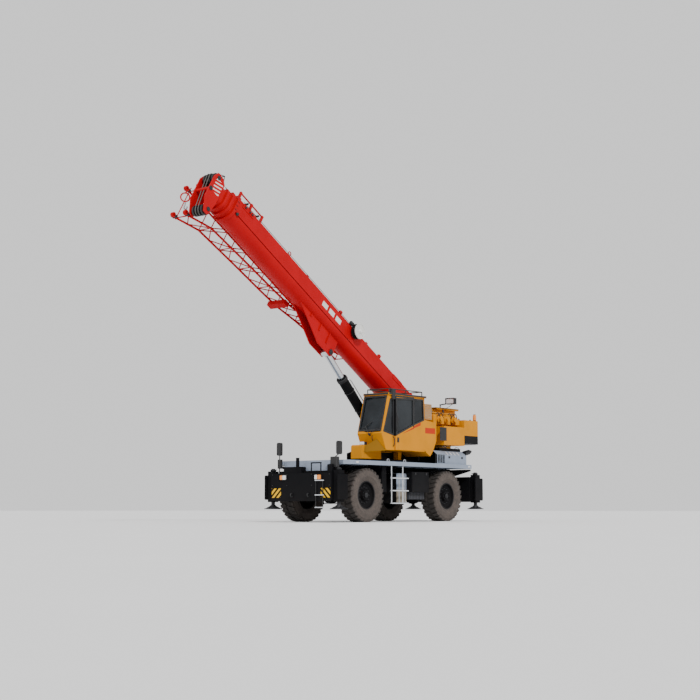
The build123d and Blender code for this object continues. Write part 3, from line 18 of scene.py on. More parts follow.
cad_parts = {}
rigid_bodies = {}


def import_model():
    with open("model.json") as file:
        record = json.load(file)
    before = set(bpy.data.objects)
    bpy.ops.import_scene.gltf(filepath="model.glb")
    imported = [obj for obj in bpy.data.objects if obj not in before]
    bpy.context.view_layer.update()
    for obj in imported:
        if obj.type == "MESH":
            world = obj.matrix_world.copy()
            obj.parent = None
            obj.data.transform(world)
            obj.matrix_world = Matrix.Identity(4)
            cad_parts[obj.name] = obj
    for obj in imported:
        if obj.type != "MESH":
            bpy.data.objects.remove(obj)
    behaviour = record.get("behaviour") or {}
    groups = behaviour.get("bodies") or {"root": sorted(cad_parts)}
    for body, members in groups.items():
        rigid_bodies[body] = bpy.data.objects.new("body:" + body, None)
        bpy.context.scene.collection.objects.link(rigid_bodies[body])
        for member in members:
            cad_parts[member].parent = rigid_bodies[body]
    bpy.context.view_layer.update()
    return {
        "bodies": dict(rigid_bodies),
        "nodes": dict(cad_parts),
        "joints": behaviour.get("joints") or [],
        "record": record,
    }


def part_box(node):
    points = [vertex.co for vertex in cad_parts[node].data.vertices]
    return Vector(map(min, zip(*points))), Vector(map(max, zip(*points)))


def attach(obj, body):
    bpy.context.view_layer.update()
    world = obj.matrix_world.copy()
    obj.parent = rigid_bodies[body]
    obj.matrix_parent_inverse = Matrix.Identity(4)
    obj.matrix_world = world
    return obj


LOG = logging.getLogger("crane")
Point = tuple[float, float, float]
Colour = tuple[float, float, float, float]
Part = bpy.types.Object

# The frame's origin lies this far ahead of the point midway between the axles.
MIDDLE = 1.8213
# The boom as packed: its lift, its foot pin, its top face and the pin of the luffing cylinder's eye.
BOOM_ANGLE = math.radians(31.1)
BOOM_FOOT = Vector((-2.05 - MIDDLE, 0.0, 2.95))
BOOM_TOP = 0.55
LUFF_EYE = (4.641, -0.6)
# A fitting's foot is sunk this deep into the boom's top face.
SINK = 0.002
SMOOTH_ANGLE = math.radians(35.0)
AHEAD = Vector((1, 0, 0))
LEFT = Vector((0, 1, 0))
UP = Vector((0, 0, 1))
SIDES = (-1.0, 1.0)


def spot(x: float, y: float, z: float) -> Vector:
    """Place in the machine's frame of a point measured from midway between the axles."""
    return Vector((x - MIDDLE, y, z))


def boom_point(u: float, y: float, w: float) -> Vector:
    """Point at boom length u, side y and height w above the boom's centre line.

    Args:
        u: Distance along the boom from its foot pin, in metres.
        y: Distance to the left of the centre line.
        w: Height square to the boom.

    Returns:
        The point in the machine's frame.
    """
    c, s = math.cos(BOOM_ANGLE), math.sin(BOOM_ANGLE)
    return BOOM_FOOT + Vector((u * c - w * s, y, u * s + w * c))


def spots(*points: Point) -> list[Vector]:
    """Several places at once, each as spot gives it."""
    return [spot(*point) for point in points]


def boom_path(path: Sequence[tuple[float, float]], y: float) -> list[Vector]:
    """Points at lengths and heights on the boom, all at one side distance."""
    return [boom_point(u, y, w) for u, w in path]


def middle_of(name: str) -> Vector:
    """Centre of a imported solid's box."""
    low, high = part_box(name)
    return (Vector(low) + Vector(high)) / 2


class Shade(Enum):
    """Named colours of the machine, as linear red, green, blue and alpha."""

    BOOM_RED = (0.42, 0.0, 0.004, 1.0)
    # Near-black red: the boom's seam line, also painted shade where the belly turns under.
    SEAM_SHADE_RED = (0.03, 0.0, 0.0, 1.0)
    ORANGE_RED = (0.45, 0.03, 0.004, 1.0)
    UPPER_YELLOW = (0.58, 0.22, 0.0, 1.0)
    # Upper yellow darkened to brown: painted shade on plates that lie in shadow.
    SHADED_YELLOW = (0.22, 0.10, 0.004, 1.0)
    CARRIER_BLACK = (0.004, 0.004, 0.005, 1.0)
    DECK_GREY = (0.25, 0.29, 0.36, 1.0)
    TANK_TAN = (0.22, 0.19, 0.15, 1.0)
    DIM_GREY = (0.05, 0.052, 0.06, 1.0)
    DUST = (0.17, 0.14, 0.115, 1.0)
    RUBBER = (0.014, 0.012, 0.011, 1.0)
    RUBBER_DUSTY = (0.10, 0.078, 0.066, 1.0)
    STEEL = (0.58, 0.60, 0.63, 1.0)
    CHROME = (0.75, 0.77, 0.80, 1.0)
    DARK_STEEL = (0.03, 0.03, 0.033, 1.0)
    WHITE = (0.80, 0.80, 0.80, 1.0)
    DECAL = (0.62, 0.60, 0.58, 1.0)
    ROPE = (0.06, 0.055, 0.05, 1.0)
    BLACK = (0.008, 0.008, 0.009, 1.0)
    GLASS = (0.006, 0.008, 0.010, 1.0)
    AMBER = (0.85, 0.26, 0.01, 1.0)
    HAZARD_YELLOW = (0.75, 0.42, 0.01, 1.0)
    SEAT = (0.02, 0.02, 0.024, 1.0)
    MESH_TAN = (0.30, 0.24, 0.17, 1.0)
    REEL = (0.62, 0.62, 0.60, 1.0)
    GLASS_HAZE = (0.030, 0.036, 0.042, 1.0)
    SURROUNDINGS = (1.0, 1.0, 1.0, 1.0)
    FLOOR = (0.80, 0.80, 0.80, 1.0)
    FLOOR_PALE = (0.84, 0.84, 0.84, 1.0)

    def toned(self, factor: float, lift: float = 0.0) -> Colour:
        """The colour times a factor, plus a lift."""
        return tuple(min(1.0, c * factor + lift) for c in self.value[:3]) + (1.0,)


class Wire:
    """A shader socket that takes part in Python expressions."""

    def __init__(self, sheet: "Shader", socket: bpy.types.NodeSocket | float) -> None:
        """Keep the socket and the material it belongs to."""
        self.sheet = sheet
        self.socket = socket

    def _maths(self, kind: str, other: "Wire | float", swap: bool = False) -> "Wire":
        """Add a Math node for an operation with another value."""
        values = [other, self] if swap else [self, other]
        return self.sheet.node("ShaderNodeMath", {"operation": kind}, {0: values[0], 1: values[1]})

    def __add__(self, other: "Wire | float") -> "Wire":
        """Sum."""
        return self._maths("ADD", other)

    __radd__ = __add__

    def __sub__(self, other: "Wire | float") -> "Wire":
        """Difference."""
        return self._maths("SUBTRACT", other)

    def __rsub__(self, other: "Wire | float") -> "Wire":
        """Reflected difference."""
        return self._maths("SUBTRACT", other, swap=True)

    def __mul__(self, other: "Wire | float") -> "Wire":
        """Product."""
        return self._maths("MULTIPLY", other)

    __rmul__ = __mul__

    def __truediv__(self, other: "Wire | float") -> "Wire":
        """Quotient."""
        return self._maths("DIVIDE", other)

    def __gt__(self, other: "Wire | float") -> "Wire":
        """One where this is greater."""
        return self._maths("GREATER_THAN", other)

    def __lt__(self, other: "Wire | float") -> "Wire":
        """One where this is less."""
        return self._maths("LESS_THAN", other)

    def within(self, low: float, high: float) -> "Wire":
        """One between low and high."""
        return (self > low) * (self < high)

    def of(self, kind: str, other: "Wire | float" = 0.5) -> "Wire":
        """Any other Math operation by name."""
        return self._maths(kind, other)

    def soft(self, low: float, high: float) -> "Wire":
        """Ramp from 0 at low to 1 at high."""
        return self.sheet.node(
            "ShaderNodeMapRange",
            {"clamp": True, "interpolation_type": "SMOOTHSTEP"},
            {0: self, 1: low, 2: high, 3: 0.0, 4: 1.0},
        )


class Shader:
    """A material under construction."""

    def __init__(self, name: str) -> None:
        """Start a material with one Principled shader."""
        self.material = bpy.data.materials.new(name)
        self.material.use_nodes = True
        self.tree = self.material.node_tree
        self.body = self.tree.nodes["Principled BSDF"]

    def node(self, kind: str, settings: dict, inputs: dict, output: int | str = 0) -> Wire:
        """Add a node.

        Args:
            kind: The node's type name.
            settings: Attributes set before its sockets.
            inputs: Values or wires by socket index or name.
            output: Which output to hand back.

        Returns:
            The chosen output as a wire.
        """
        node = self.tree.nodes.new(kind)
        for key, value in settings.items():
            setattr(node, key, value)
        for key, value in inputs.items():
            if isinstance(value, Wire):
                self.tree.links.new(value.socket, node.inputs[key])
            else:
                node.inputs[key].default_value = value
        return Wire(self, node.outputs[output])

    def place(self) -> Wire:
        """Object coordinates."""
        return self.node("ShaderNodeTexCoord", {}, {}, "Object")

    def axes(self) -> tuple[Wire, Wire, Wire]:
        """Object coordinates split into x, y and z."""
        first = self.node("ShaderNodeSeparateXYZ", {}, {0: self.place()}, 0)
        node = first.socket.node
        return first, Wire(self, node.outputs[1]), Wire(self, node.outputs[2])

    def noise(self, scale: float, detail: float = 3.0, rough: float = 0.55) -> Wire:
        """Noise over the object, from 0 to 1."""
        inputs = {"Vector": self.place(), "Scale": scale, "Detail": detail, "Roughness": rough}
        return self.node("ShaderNodeTexNoise", {}, inputs)

    def mix(self, amount: Wire | float, low: Wire | Colour, high: Wire | Colour) -> Wire:
        """Mix two colours."""
        node = self.tree.nodes.new("ShaderNodeMix")
        node.data_type = "RGBA"
        for key, value in ((0, amount), (6, low), (7, high)):
            if isinstance(value, Wire):
                self.tree.links.new(value.socket, node.inputs[key])
            else:
                node.inputs[key].default_value = value
        return Wire(self, node.outputs[2])

    def bump(self, height: Wire, strength: float, distance: float) -> None:
        """Feed the shader's normal from a height."""
        inputs = {"Strength": strength, "Distance": distance, "Height": height}
        normal = self.node("ShaderNodeBump", {}, inputs)
        self.tree.links.new(normal.socket, self.body.inputs["Normal"])

    def feed(self, socket: str, value: Wire | float | Colour) -> None:
        """Set or link one socket of the Principled shader."""
        if isinstance(value, Wire):
            self.tree.links.new(value.socket, self.body.inputs[socket])
        else:
            self.body.inputs[socket].default_value = value


@dataclass(frozen=True)
class Marking:
    """A painted patch: a colour where a mask, worked out from the object's place, is one."""

    shade: Shade
    mask: Callable[[Shader], Wire]


@dataclass(frozen=True)
class Paint:
    """Sprayed enamel with a clear coat, thin road dust and a slight orange peel."""

    name: str
    shade: Shade
    rough: float = 0.4
    coat: float = 0.03
    dust: float = 0.35
    dust_top: float = 1.4
    spec: float = 0.08
    markings: tuple[Marking, ...] = ()

    def make(self) -> bpy.types.Material:
        """Build the material."""
        sheet = Shader(self.name)
        cloud = sheet.noise(1.7, 4.0).soft(0.35, 0.7)
        colour = sheet.mix(cloud * 0.6, self.shade.value, self.shade.toned(0.82))
        for marking in self.markings:
            colour = sheet.mix(marking.mask(sheet), colour, marking.shade.value)
        _, _, z = sheet.axes()
        speckle = sheet.noise(38.0, 5.0).soft(0.45, 0.75)
        film = (1.0 - z.soft(0.2, self.dust_top)) * (0.35 + 0.65 * speckle) * self.dust
        film = film + speckle * (0.05 * self.dust)
        colour = sheet.mix(film, colour, Shade.DUST.value)
        sheet.feed("Base Color", colour)
        sheet.feed("Roughness", self.rough + 0.16 * cloud + 0.4 * film)
        sheet.feed("Coat Weight", self.coat)
        sheet.feed("Coat Roughness", 0.12)
        sheet.feed("Specular IOR Level", self.spec)
        sheet.bump(sheet.noise(55.0, 2.0), 0.06, 0.002)
        return sheet.material


@dataclass(frozen=True)
class Metal:
    """Bare, chromed or cast metal."""

    name: str
    shade: Shade
    rough: float = 0.35
    metallic: float = 1.0
    grain: float = 60.0

    def make(self) -> bpy.types.Material:
        """Build the material."""
        sheet = Shader(self.name)
        mottle = sheet.noise(self.grain, 4.0).soft(0.35, 0.7)
        sheet.feed("Base Color", sheet.mix(mottle, self.shade.value, self.shade.toned(0.6)))
        sheet.feed("Roughness", self.rough + 0.15 * mottle)
        sheet.feed("Metallic", self.metallic)
        sheet.bump(mottle, 0.08, 0.001)
        return sheet.material


@dataclass(frozen=True)
class Plastic:
    """Moulded plastic, seat cloth or lamp housing."""

    name: str
    shade: Shade
    rough: float = 0.55
    grain: float = 220.0
    bump: float = 0.15

    def make(self) -> bpy.types.Material:
        """Build the material."""
        sheet = Shader(self.name)
        grain = sheet.noise(self.grain, 3.0)
        cloud = sheet.noise(3.0).soft(0.4, 0.8)
        sheet.feed("Base Color", sheet.mix(cloud * 0.5, self.shade.value, self.shade.toned(1.5, 0.006)))
        sheet.feed("Roughness", self.rough + 0.1 * grain)
        sheet.bump(grain, self.bump, 0.001)
        return sheet.material


@dataclass(frozen=True)
class Tint:
    """Dark tinted safety glass, near opaque from outside."""

    name: str
    alpha: float = 0.93

    def make(self) -> bpy.types.Material:
        """Build the material."""
        sheet = Shader(self.name)
        haze = sheet.noise(1.3, 2.0).soft(0.3, 0.8)
        sheet.feed("Base Color", sheet.mix(haze * 0.6, Shade.GLASS.value, Shade.GLASS_HAZE.value))
        sheet.feed("Roughness", 0.06 + 0.03 * haze)
        sheet.feed("Alpha", self.alpha)
        sheet.feed("Specular IOR Level", 0.25)
        sheet.feed("IOR", 1.5)
        return sheet.material


@dataclass(frozen=True)
class Tyre:
    """Dusty off-road rubber: pale sidewall rings, darker between the lugs."""

    name: str
    centre: Point

    def make(self) -> bpy.types.Material:
        """Build the material."""
        sheet = Shader(self.name)
        x, y, z = sheet.axes()
        dx, dz = x - self.centre[0], z - self.centre[2]
        reach = (dx * dx + dz * dz).of("SQRT", 0.5)
        side = (y - self.centre[1]).of("ABSOLUTE")
        wall = side.soft(0.17, 0.235)
        tread = reach.soft(0.66, 0.715)
        speckle = sheet.noise(24.0, 6.0, 0.65)
        clumps = sheet.noise(7.0, 4.0).soft(0.35, 0.65)
        dust = (0.35 + 0.65 * wall) * (0.55 + 0.45 * speckle.soft(0.3, 0.7))
        dust = dust * (0.75 + 0.25 * clumps) * (1.0 - 0.45 * tread)
        rings = ((reach * 210.0).of("SINE") * 0.5 + 0.5) * wall * (1.0 - tread)
        dust = dust * (1.0 - 0.22 * rings)
        sheet.feed("Base Color", sheet.mix(dust, Shade.RUBBER.value, Shade.RUBBER_DUSTY.value))
        sheet.feed("Roughness", 0.78 + 0.18 * speckle)
        sheet.bump(rings * 0.6 + speckle * 0.5, 0.5, 0.004)
        return sheet.material


@dataclass(frozen=True)
class Rope:
    """Greased steel wire rope with its slanting lay."""

    name: str

    def make(self) -> bpy.types.Material:
        """Build the material."""
        sheet = Shader(self.name)
        x, y, z = sheet.axes()
        lay = ((x + y * 1.7 + z) * 260.0).of("SINE") * 0.5 + 0.5
        sheet.feed("Base Color", sheet.mix(lay, Shade.ROPE.value, Shade.ROPE.toned(2.2)))
        sheet.feed("Roughness", 0.5)
        sheet.feed("Metallic", 0.6)
        sheet.bump(lay, 0.5, 0.003)
        return sheet.material


@dataclass(frozen=True)
class Lens:
    """A lamp's lens, bright inside its rim."""

    name: str
    shade: Shade
    outer: Shade | None = None

    def make(self) -> bpy.types.Material:
        """Build the material; an outer shade takes the lamps that stand furthest from the middle."""
        sheet = Shader(self.name)
        y = sheet.axes()[1]
        ribs = (y * 900.0).of("SINE") * 0.5 + 0.5
        colour = sheet.mix(ribs, self.shade.value, self.shade.toned(0.7))
        if self.outer:
            colour = sheet.mix(y.of("ABSOLUTE") > 0.63, colour, self.outer.value)
        sheet.feed("Base Color", colour)
        sheet.feed("Roughness", 0.12)
        sheet.feed("Coat Weight", 1.0)
        sheet.bump(ribs, 0.2, 0.001)
        return sheet.material


# Marks on the cab's left wall lie beyond this side distance.
CAB_SIDE = 1.2


def side_band(shade: Shade, x0: float, x1: float, z0: float, z1: float) -> "Marking":
    """Painted patch on the left side between two x and two z, in the machine's own metres."""

    def mask(sheet: Shader) -> Wire:
        """One inside the patch."""
        x, y, z = sheet.axes()
        return x.within(x0 - MIDDLE, x1 - MIDDLE) * z.within(z0, z1) * (y > CAB_SIDE)

    return Marking(shade, mask)


def hazard_mask(sheet: Shader) -> Wire:
    """Yellow and black slanting stripes on the front box's lower outer corners."""
    x, y, z = sheet.axes()
    reach = y.of("ABSOLUTE")
    inside = reach.within(0.72, 1.06) * z.within(0.68, 0.94) * (x > 3.32 - MIDDLE)
    return inside * (((reach + z) * 38.0).of("SINE") > -0.1)


def boom_axes(sheet: Shader) -> tuple[Wire, Wire, Wire]:
    """Length along the boom, side and height square to the boom."""
    x, y, z = sheet.axes()
    c, s = math.cos(BOOM_ANGLE), math.sin(BOOM_ANGLE)
    dx, dz = x - BOOM_FOOT.x, z - BOOM_FOOT.z
    return dx * c + dz * s, y, dz * c - dx * s


def boom_squares(sheet: Shader) -> Wire:
    """Three plain pale squares on the boom's left side."""
    u, y, w = boom_axes(sheet)
    first, pitch, last = 4.86, 0.35, 5.86
    cell = ((u - first) / pitch).of("FRACT")
    return u.within(first, last) * (cell < 0.74) * w.within(0.19, 0.34) * (y > 0.3)


def reel_outside(sheet: Shader) -> Wire:
    """Pale outer flange of the cable reel."""
    return sheet.axes()[1] > 0.505


def head_stripes(sheet: Shader) -> Wire:
    """Four slanting pale stripes on the head's left plate."""
    u, y, w = boom_axes(sheet)
    lane = ((w + (u - 10.8) * 0.3) / 0.105).of("FRACT")
    return (lane < 0.38) * u.within(10.68, 10.96) * w.within(0.02, 0.43) * (y > 0.26)


def seam_and_shade_line(sheet: Shader) -> Wire:
    """Dark line along the boom's side where its belly begins: the weld seam, painted dark also as the shade
    where the belly turns under.
    """
    u, _, w = boom_axes(sheet)
    return w.within(0.035, 0.056) * u.within(0.6, 10.0)


def swoosh(sheet: Shader) -> Wire:
    """Red streak below the door's window, widening to the rear."""
    x, y, z = sheet.axes()
    drop = (2.49 + (0.625 - MIDDLE - x) * 0.3795) - z
    reach = (0.32 - MIDDLE - x) / 0.97
    return (drop > 0.06) * (drop < 0.066 + 0.085 * reach) * reach.within(0.0, 1.0) * (y > CAB_SIDE)


def table_skirt_and_shade(sheet: Shader) -> Wire:
    """Black underside and lower flanks of the turntable: partly its own black skirt, partly painted shade
    under the cab.
    """
    return sheet.axes()[2] < 2.03


def hood_dark_zones(sheet: Shader) -> Wire:
    """Hood painted black above z 2.127, and on its front part above z 1.73."""
    x, _, z = sheet.axes()
    return (z > 2.127).of("MAXIMUM", (x > -1.56 - MIDDLE) * (z > 1.73))


def hood_stripes(sheet: Shader) -> Wire:
    """Slanting pale bars beside the louvres."""
    x, _, z = sheet.axes()
    lane = ((x + z * 0.5) / 0.2).of("FRACT")
    return (lane < 0.22) * x.within(-2.95 - MIDDLE, -2.1 - MIDDLE) * z.within(2.0, 2.1)


def tank_upper(sheet: Shader) -> Wire:
    """Pale tank between the ladder and the frame."""
    x, y, _ = sheet.axes()
    return x.within(-0.235 - MIDDLE, 0.26 - MIDDLE) * (y.of("ABSOLUTE") > 1.03)


def tank_lower(sheet: Shader) -> Wire:
    """Dusty lower part of the tank."""
    return tank_upper(sheet) * (sheet.axes()[2] < 0.93)


def low_box(sheet: Shader) -> Wire:
    """Ribbed grey box under the side locker."""
    x, _, z = sheet.axes()
    return x.within(-1.07 - MIDDLE, -0.29 - MIDDLE) * (z < 0.858)


def step_hangers(sheet: Shader) -> Wire:
    """Black hangers of the front step, whose treads stay silver."""
    x, _, z = sheet.axes()
    low, *higher = [(z - level).of("ABSOLUTE") < 0.016 for level in (0.41, 0.75, 1.15)]
    tread = low
    for step in higher:
        tread = tread.of("MAXIMUM", step)
    return (x > 3.0 - MIDDLE) * (1.0 - tread)


def weight_band(sheet: Shader) -> Wire:
    """Dark lower band round the counterweight."""
    return sheet.axes()[2] < 2.62


class Studio:
    """Camera, lights and floor."""

    lens: float = 71.44
    sensor: float = 36.0
    reach: float = 500.0
    eye: Point = (33.073 - MIDDLE, 24.923, 0.369)
    yaw: float = 3.804
    pitch: float = 0.1139
    target: Point = (0.0, 0.0, 2.0)
    floor_size: float = 400.0

    def build(self) -> None:
        """Set up the view."""
        flat = math.cos(self.pitch)
        ahead = Vector((math.cos(self.yaw) * flat, math.sin(self.yaw) * flat, math.sin(self.pitch)))
        data = bpy.data.cameras.new("camera")
        data.lens = self.lens
        data.sensor_width = self.sensor
        data.clip_end = self.reach
        camera = bpy.data.objects.new("camera", data)
        camera.location = self.eye
        camera.rotation_euler = ahead.to_track_quat("-Z", "Y").to_euler()
        bpy.context.collection.objects.link(camera)
        bpy.context.scene.camera = camera
        self.light_world()
        self.lamp("sun_key", (16.0, 26.0, 24.0), 2.6, 7.0)
        self.lamp("sun_fill", (24.0, -6.0, 12.0), 0.35, 25.0)
        self.floor()

    def light_world(self) -> None:
        """White surroundings."""
        world = bpy.data.worlds.new("surroundings")
        world.use_nodes = True
        background = world.node_tree.nodes["Background"]
        background.inputs["Color"].default_value = Shade.SURROUNDINGS.value
        background.inputs["Strength"].default_value = 1.0
        bpy.context.scene.world = world

    def lamp(self, name: str, place: Point, power: float, soft: float) -> None:
        """Add a sun.

        Args:
            name: The lamp's name.
            place: Where it stands; it shines at the machine's middle.
            power: Its strength.
            soft: Its width in degrees.
        """
        data = bpy.data.lights.new(name, "SUN")
        data.energy = power
        data.angle = math.radians(soft)
        lamp = bpy.data.objects.new(name, data)
        lamp.location = place
        lamp.rotation_euler = (Vector(self.target) - Vector(place)).to_track_quat("-Z", "Y").to_euler()
        bpy.context.collection.objects.link(lamp)

    def floor(self) -> None:
        """Add the pale floor."""
        bpy.ops.object.select_all(action="DESELECT")
        bpy.ops.mesh.primitive_plane_add(size=self.floor_size, location=(0, 0, 0))
        floor = bpy.context.object
        floor.name = "floor"
        sheet = Shader("floor_white")
        sheet.feed("Base Color", sheet.mix(sheet.noise(0.4), Shade.FLOOR.value, Shade.FLOOR_PALE.value))
        sheet.feed("Roughness", 0.85)
        floor.data.materials.append(sheet.material)


@dataclass(frozen=True)
class Stock:
    """A finish together with the record's slot that it stands for."""

    material: bpy.types.Material
    slot: str


class Wardrobe:
    """Gives each solid its finish."""

    def __init__(self, frame: dict) -> None:
        """Make every finish once."""
        self.frame = frame
        squares = (Marking(Shade.SEAM_SHADE_RED, seam_and_shade_line), Marking(Shade.DECAL, boom_squares))
        stripes = (Marking(Shade.DECAL, head_stripes),)
        self.red = Paint("boom_red_paint", Shade.BOOM_RED, dust=0.0, markings=squares).make()
        self.red_head = Paint("head_red_paint", Shade.BOOM_RED, dust=0.0, markings=stripes).make()
        self.red_jib = Paint("jib_red_paint", Shade.BOOM_RED, rough=0.5, coat=0.02, dust=0.0).make()
        self.yellow = Paint("upper_yellow_paint", Shade.UPPER_YELLOW, dust=0.1).make()
        # The turntable below z 2.03 is black, partly as painted shade under the cab.
        self.yellow_table = Paint(
            "table_yellow_paint", Shade.UPPER_YELLOW, dust=0.05,
            markings=(Marking(Shade.CARRIER_BLACK, table_skirt_and_shade),),
        ).make()
        self.yellow_cab = Paint(
            "cab_yellow_paint", Shade.UPPER_YELLOW, dust=0.06,
            markings=(
                side_band(Shade.BLACK, 0.625, 0.722, 2.46, 3.62),
                side_band(Shade.BLACK, -0.312, -0.2, 2.72, 3.62),
                Marking(Shade.ORANGE_RED, swoosh),
                side_band(Shade.ORANGE_RED, -1.40, -0.88, 2.60, 2.77),
            ),
        ).make()
        self.yellow_weight = Paint(
            "weight_yellow_paint", Shade.UPPER_YELLOW, dust=0.05,
            markings=(Marking(Shade.CARRIER_BLACK, weight_band),),
        ).make()
        # Darker copy of the upper yellow: painted shade.
        self.shaded_yellow = Paint("shaded_yellow_paint", Shade.SHADED_YELLOW, rough=0.5, coat=0.0, dust=0.1).make()
        self.grey = Paint(
            "deck_grey_paint", Shade.DECK_GREY, rough=0.5, coat=0.02, dust=0.12, dust_top=2.0
        ).make()
        self.grey_hood = Paint(
            "hood_grey_paint", Shade.DECK_GREY, rough=0.5, coat=0.02, dust=0.1, dust_top=2.0,
            markings=(Marking(Shade.CARRIER_BLACK, hood_dark_zones), Marking(Shade.DECAL, hood_stripes)),
        ).make()
        self.black = Paint(
            "carrier_black_paint", Shade.CARRIER_BLACK, rough=0.6, coat=0.0, dust=0.05
        ).make()
        self.boxes = Paint(
            "box_black_paint", Shade.CARRIER_BLACK, rough=0.55, coat=0.0, dust=0.04,
            markings=(Marking(Shade.HAZARD_YELLOW, hazard_mask),),
        ).make()
        self.side_boxes = Paint(
            "side_box_paint", Shade.CARRIER_BLACK, rough=0.55, coat=0.0, spec=0.1, dust=0.05,
            markings=(Marking(Shade.DECK_GREY, tank_upper), Marking(Shade.TANK_TAN, tank_lower),
                      Marking(Shade.DIM_GREY, low_box)),
        ).make()
        self.ladder = Paint(
            "ladder_silver_paint", Shade.STEEL, rough=0.45, coat=0.0, dust=0.1, spec=0.4,
            markings=(Marking(Shade.CARRIER_BLACK, step_hangers),),
        ).make()
        self.steel = Metal("galvanised_steel", Shade.STEEL, rough=0.42).make()
        self.chrome = Metal("cylinder_chrome", Shade.CHROME, rough=0.14, grain=90.0).make()
        self.dark = Metal("dark_iron", Shade.DARK_STEEL, rough=0.55, metallic=0.5).make()
        self.plastic = Plastic("black_plastic", Shade.BLACK).make()
        self.sheave = Plastic("sheave_nylon", Shade.BLACK, rough=0.45).make()
        self.seat = Plastic("seat_cloth", Shade.SEAT, rough=0.85, grain=500.0, bump=0.4).make()
        self.reel = Plastic("reel_white", Shade.REEL, rough=0.5).make()
        self.reel_drum = Paint(
            "reel_drum_paint", Shade.BLACK, rough=0.5, dust=0.0,
            markings=(Marking(Shade.REEL, reel_outside),),
        ).make()
        self.glass = Tint("tinted_glass").make()
        self.lens = Lens("lamp_lens", Shade.WHITE).make()
        self.front_lens = Lens("front_lamp_lens", Shade.WHITE, Shade.AMBER).make()
        self.amber = Lens("amber_lens", Shade.AMBER).make()
        self.rope = Rope("wire_rope").make()
        self.hose = Plastic("hose_rubber", Shade.BLACK, rough=0.6, grain=300.0, bump=0.25).make()
        self.mesh_tan = Plastic("cooler_mesh", Shade.MESH_TAN, rough=0.7, grain=160.0, bump=0.6).make()
        self.stocks = {
            "red": Stock(self.red_jib, "boom_red"),
            "yellow": Stock(self.yellow, "upper_yellow"),
            "shaded_yellow": Stock(self.shaded_yellow, "upper_yellow"),
            "steel": Stock(self.steel, "bare_steel"),
            "dark": Stock(self.dark, "dark_steel"),
            "rope": Stock(self.rope, "dark_steel"),
            "plastic": Stock(self.plastic, "black_plastic"),
            "hose": Stock(self.hose, "black_plastic"),
            "mesh": Stock(self.mesh_tan, "black_plastic"),
            "white": Stock(self.reel, "reel_plastic"),
            "lens": Stock(self.lens, "lamp_lens"),
            "amber": Stock(self.amber, "lamp_lens"),
        }

    def table(self) -> dict[str, bpy.types.Material]:
        """Finish of each solid by name."""
        shared = (
            (self.yellow, ("side_covers", "cab_floor", "cab_roof")),
            (self.yellow_cab, ("cab_left", "cab_right", "cab_front", "cab_rear", "cab_door")),
            (self.red, ("boom_base", "boom_section_2", "boom_section_3")),
            (self.black, ("carrier_frame", "axles", "front_rack", "cylinder_barrel")),
        )
        table = {name: material for material, names in shared for name in names}
        table |= {"outrigger_boxes": self.boxes, "carrier_deck": self.grey, "engine_hood": self.grey_hood,
                  "turntable": self.yellow_table, "side_boxes": self.side_boxes,
                  "boom_section_4": self.red_head, "jib": self.red_jib, "counterweight": self.yellow_weight,
                  "slew_ring": self.dark, "engine_block": self.dark, "exhaust": self.dark,
                  "ladders": self.ladder, "front_lamps": self.front_lens, "road_mirrors": self.plastic,
                  "cab_glass": self.glass, "door_glass": self.glass, "cab_interior": self.seat,
                  "roof_rail": self.plastic, "work_lamps": self.plastic, "winch_main": self.dark,
                  "winch_aux": self.dark, "cable_reel": self.reel_drum, "head_sheaves": self.sheave,
                  "cylinder_rod": self.chrome}
        return table

    def dress(self) -> None:
        """Assign a finish to every solid."""
        table = self.table()
        for name in self.frame["nodes"]:
            kind, _, corner = name.partition("_")
            if kind == "tyre":
                low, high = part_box(name)
                centre = tuple((a + b) / 2 for a, b in zip(low, high))
                material = Tyre("rubber_" + corner, centre).make()
            elif kind in ("rim", "knuckle", "beam"):
                material = self.black
            elif kind == "jack":
                material = self.dark
            else:
                material = table[name]
            self.paint(name, material)

    def paint(self, name: str, material: bpy.types.Material) -> None:
        """Put a material on one solid's object."""
        node = self.frame["nodes"][name]
        if not node.material_slots:
            node.data.materials.append(material)
        for slot in node.material_slots:
            slot.material = material
        LOG.info("dressed %s", name)


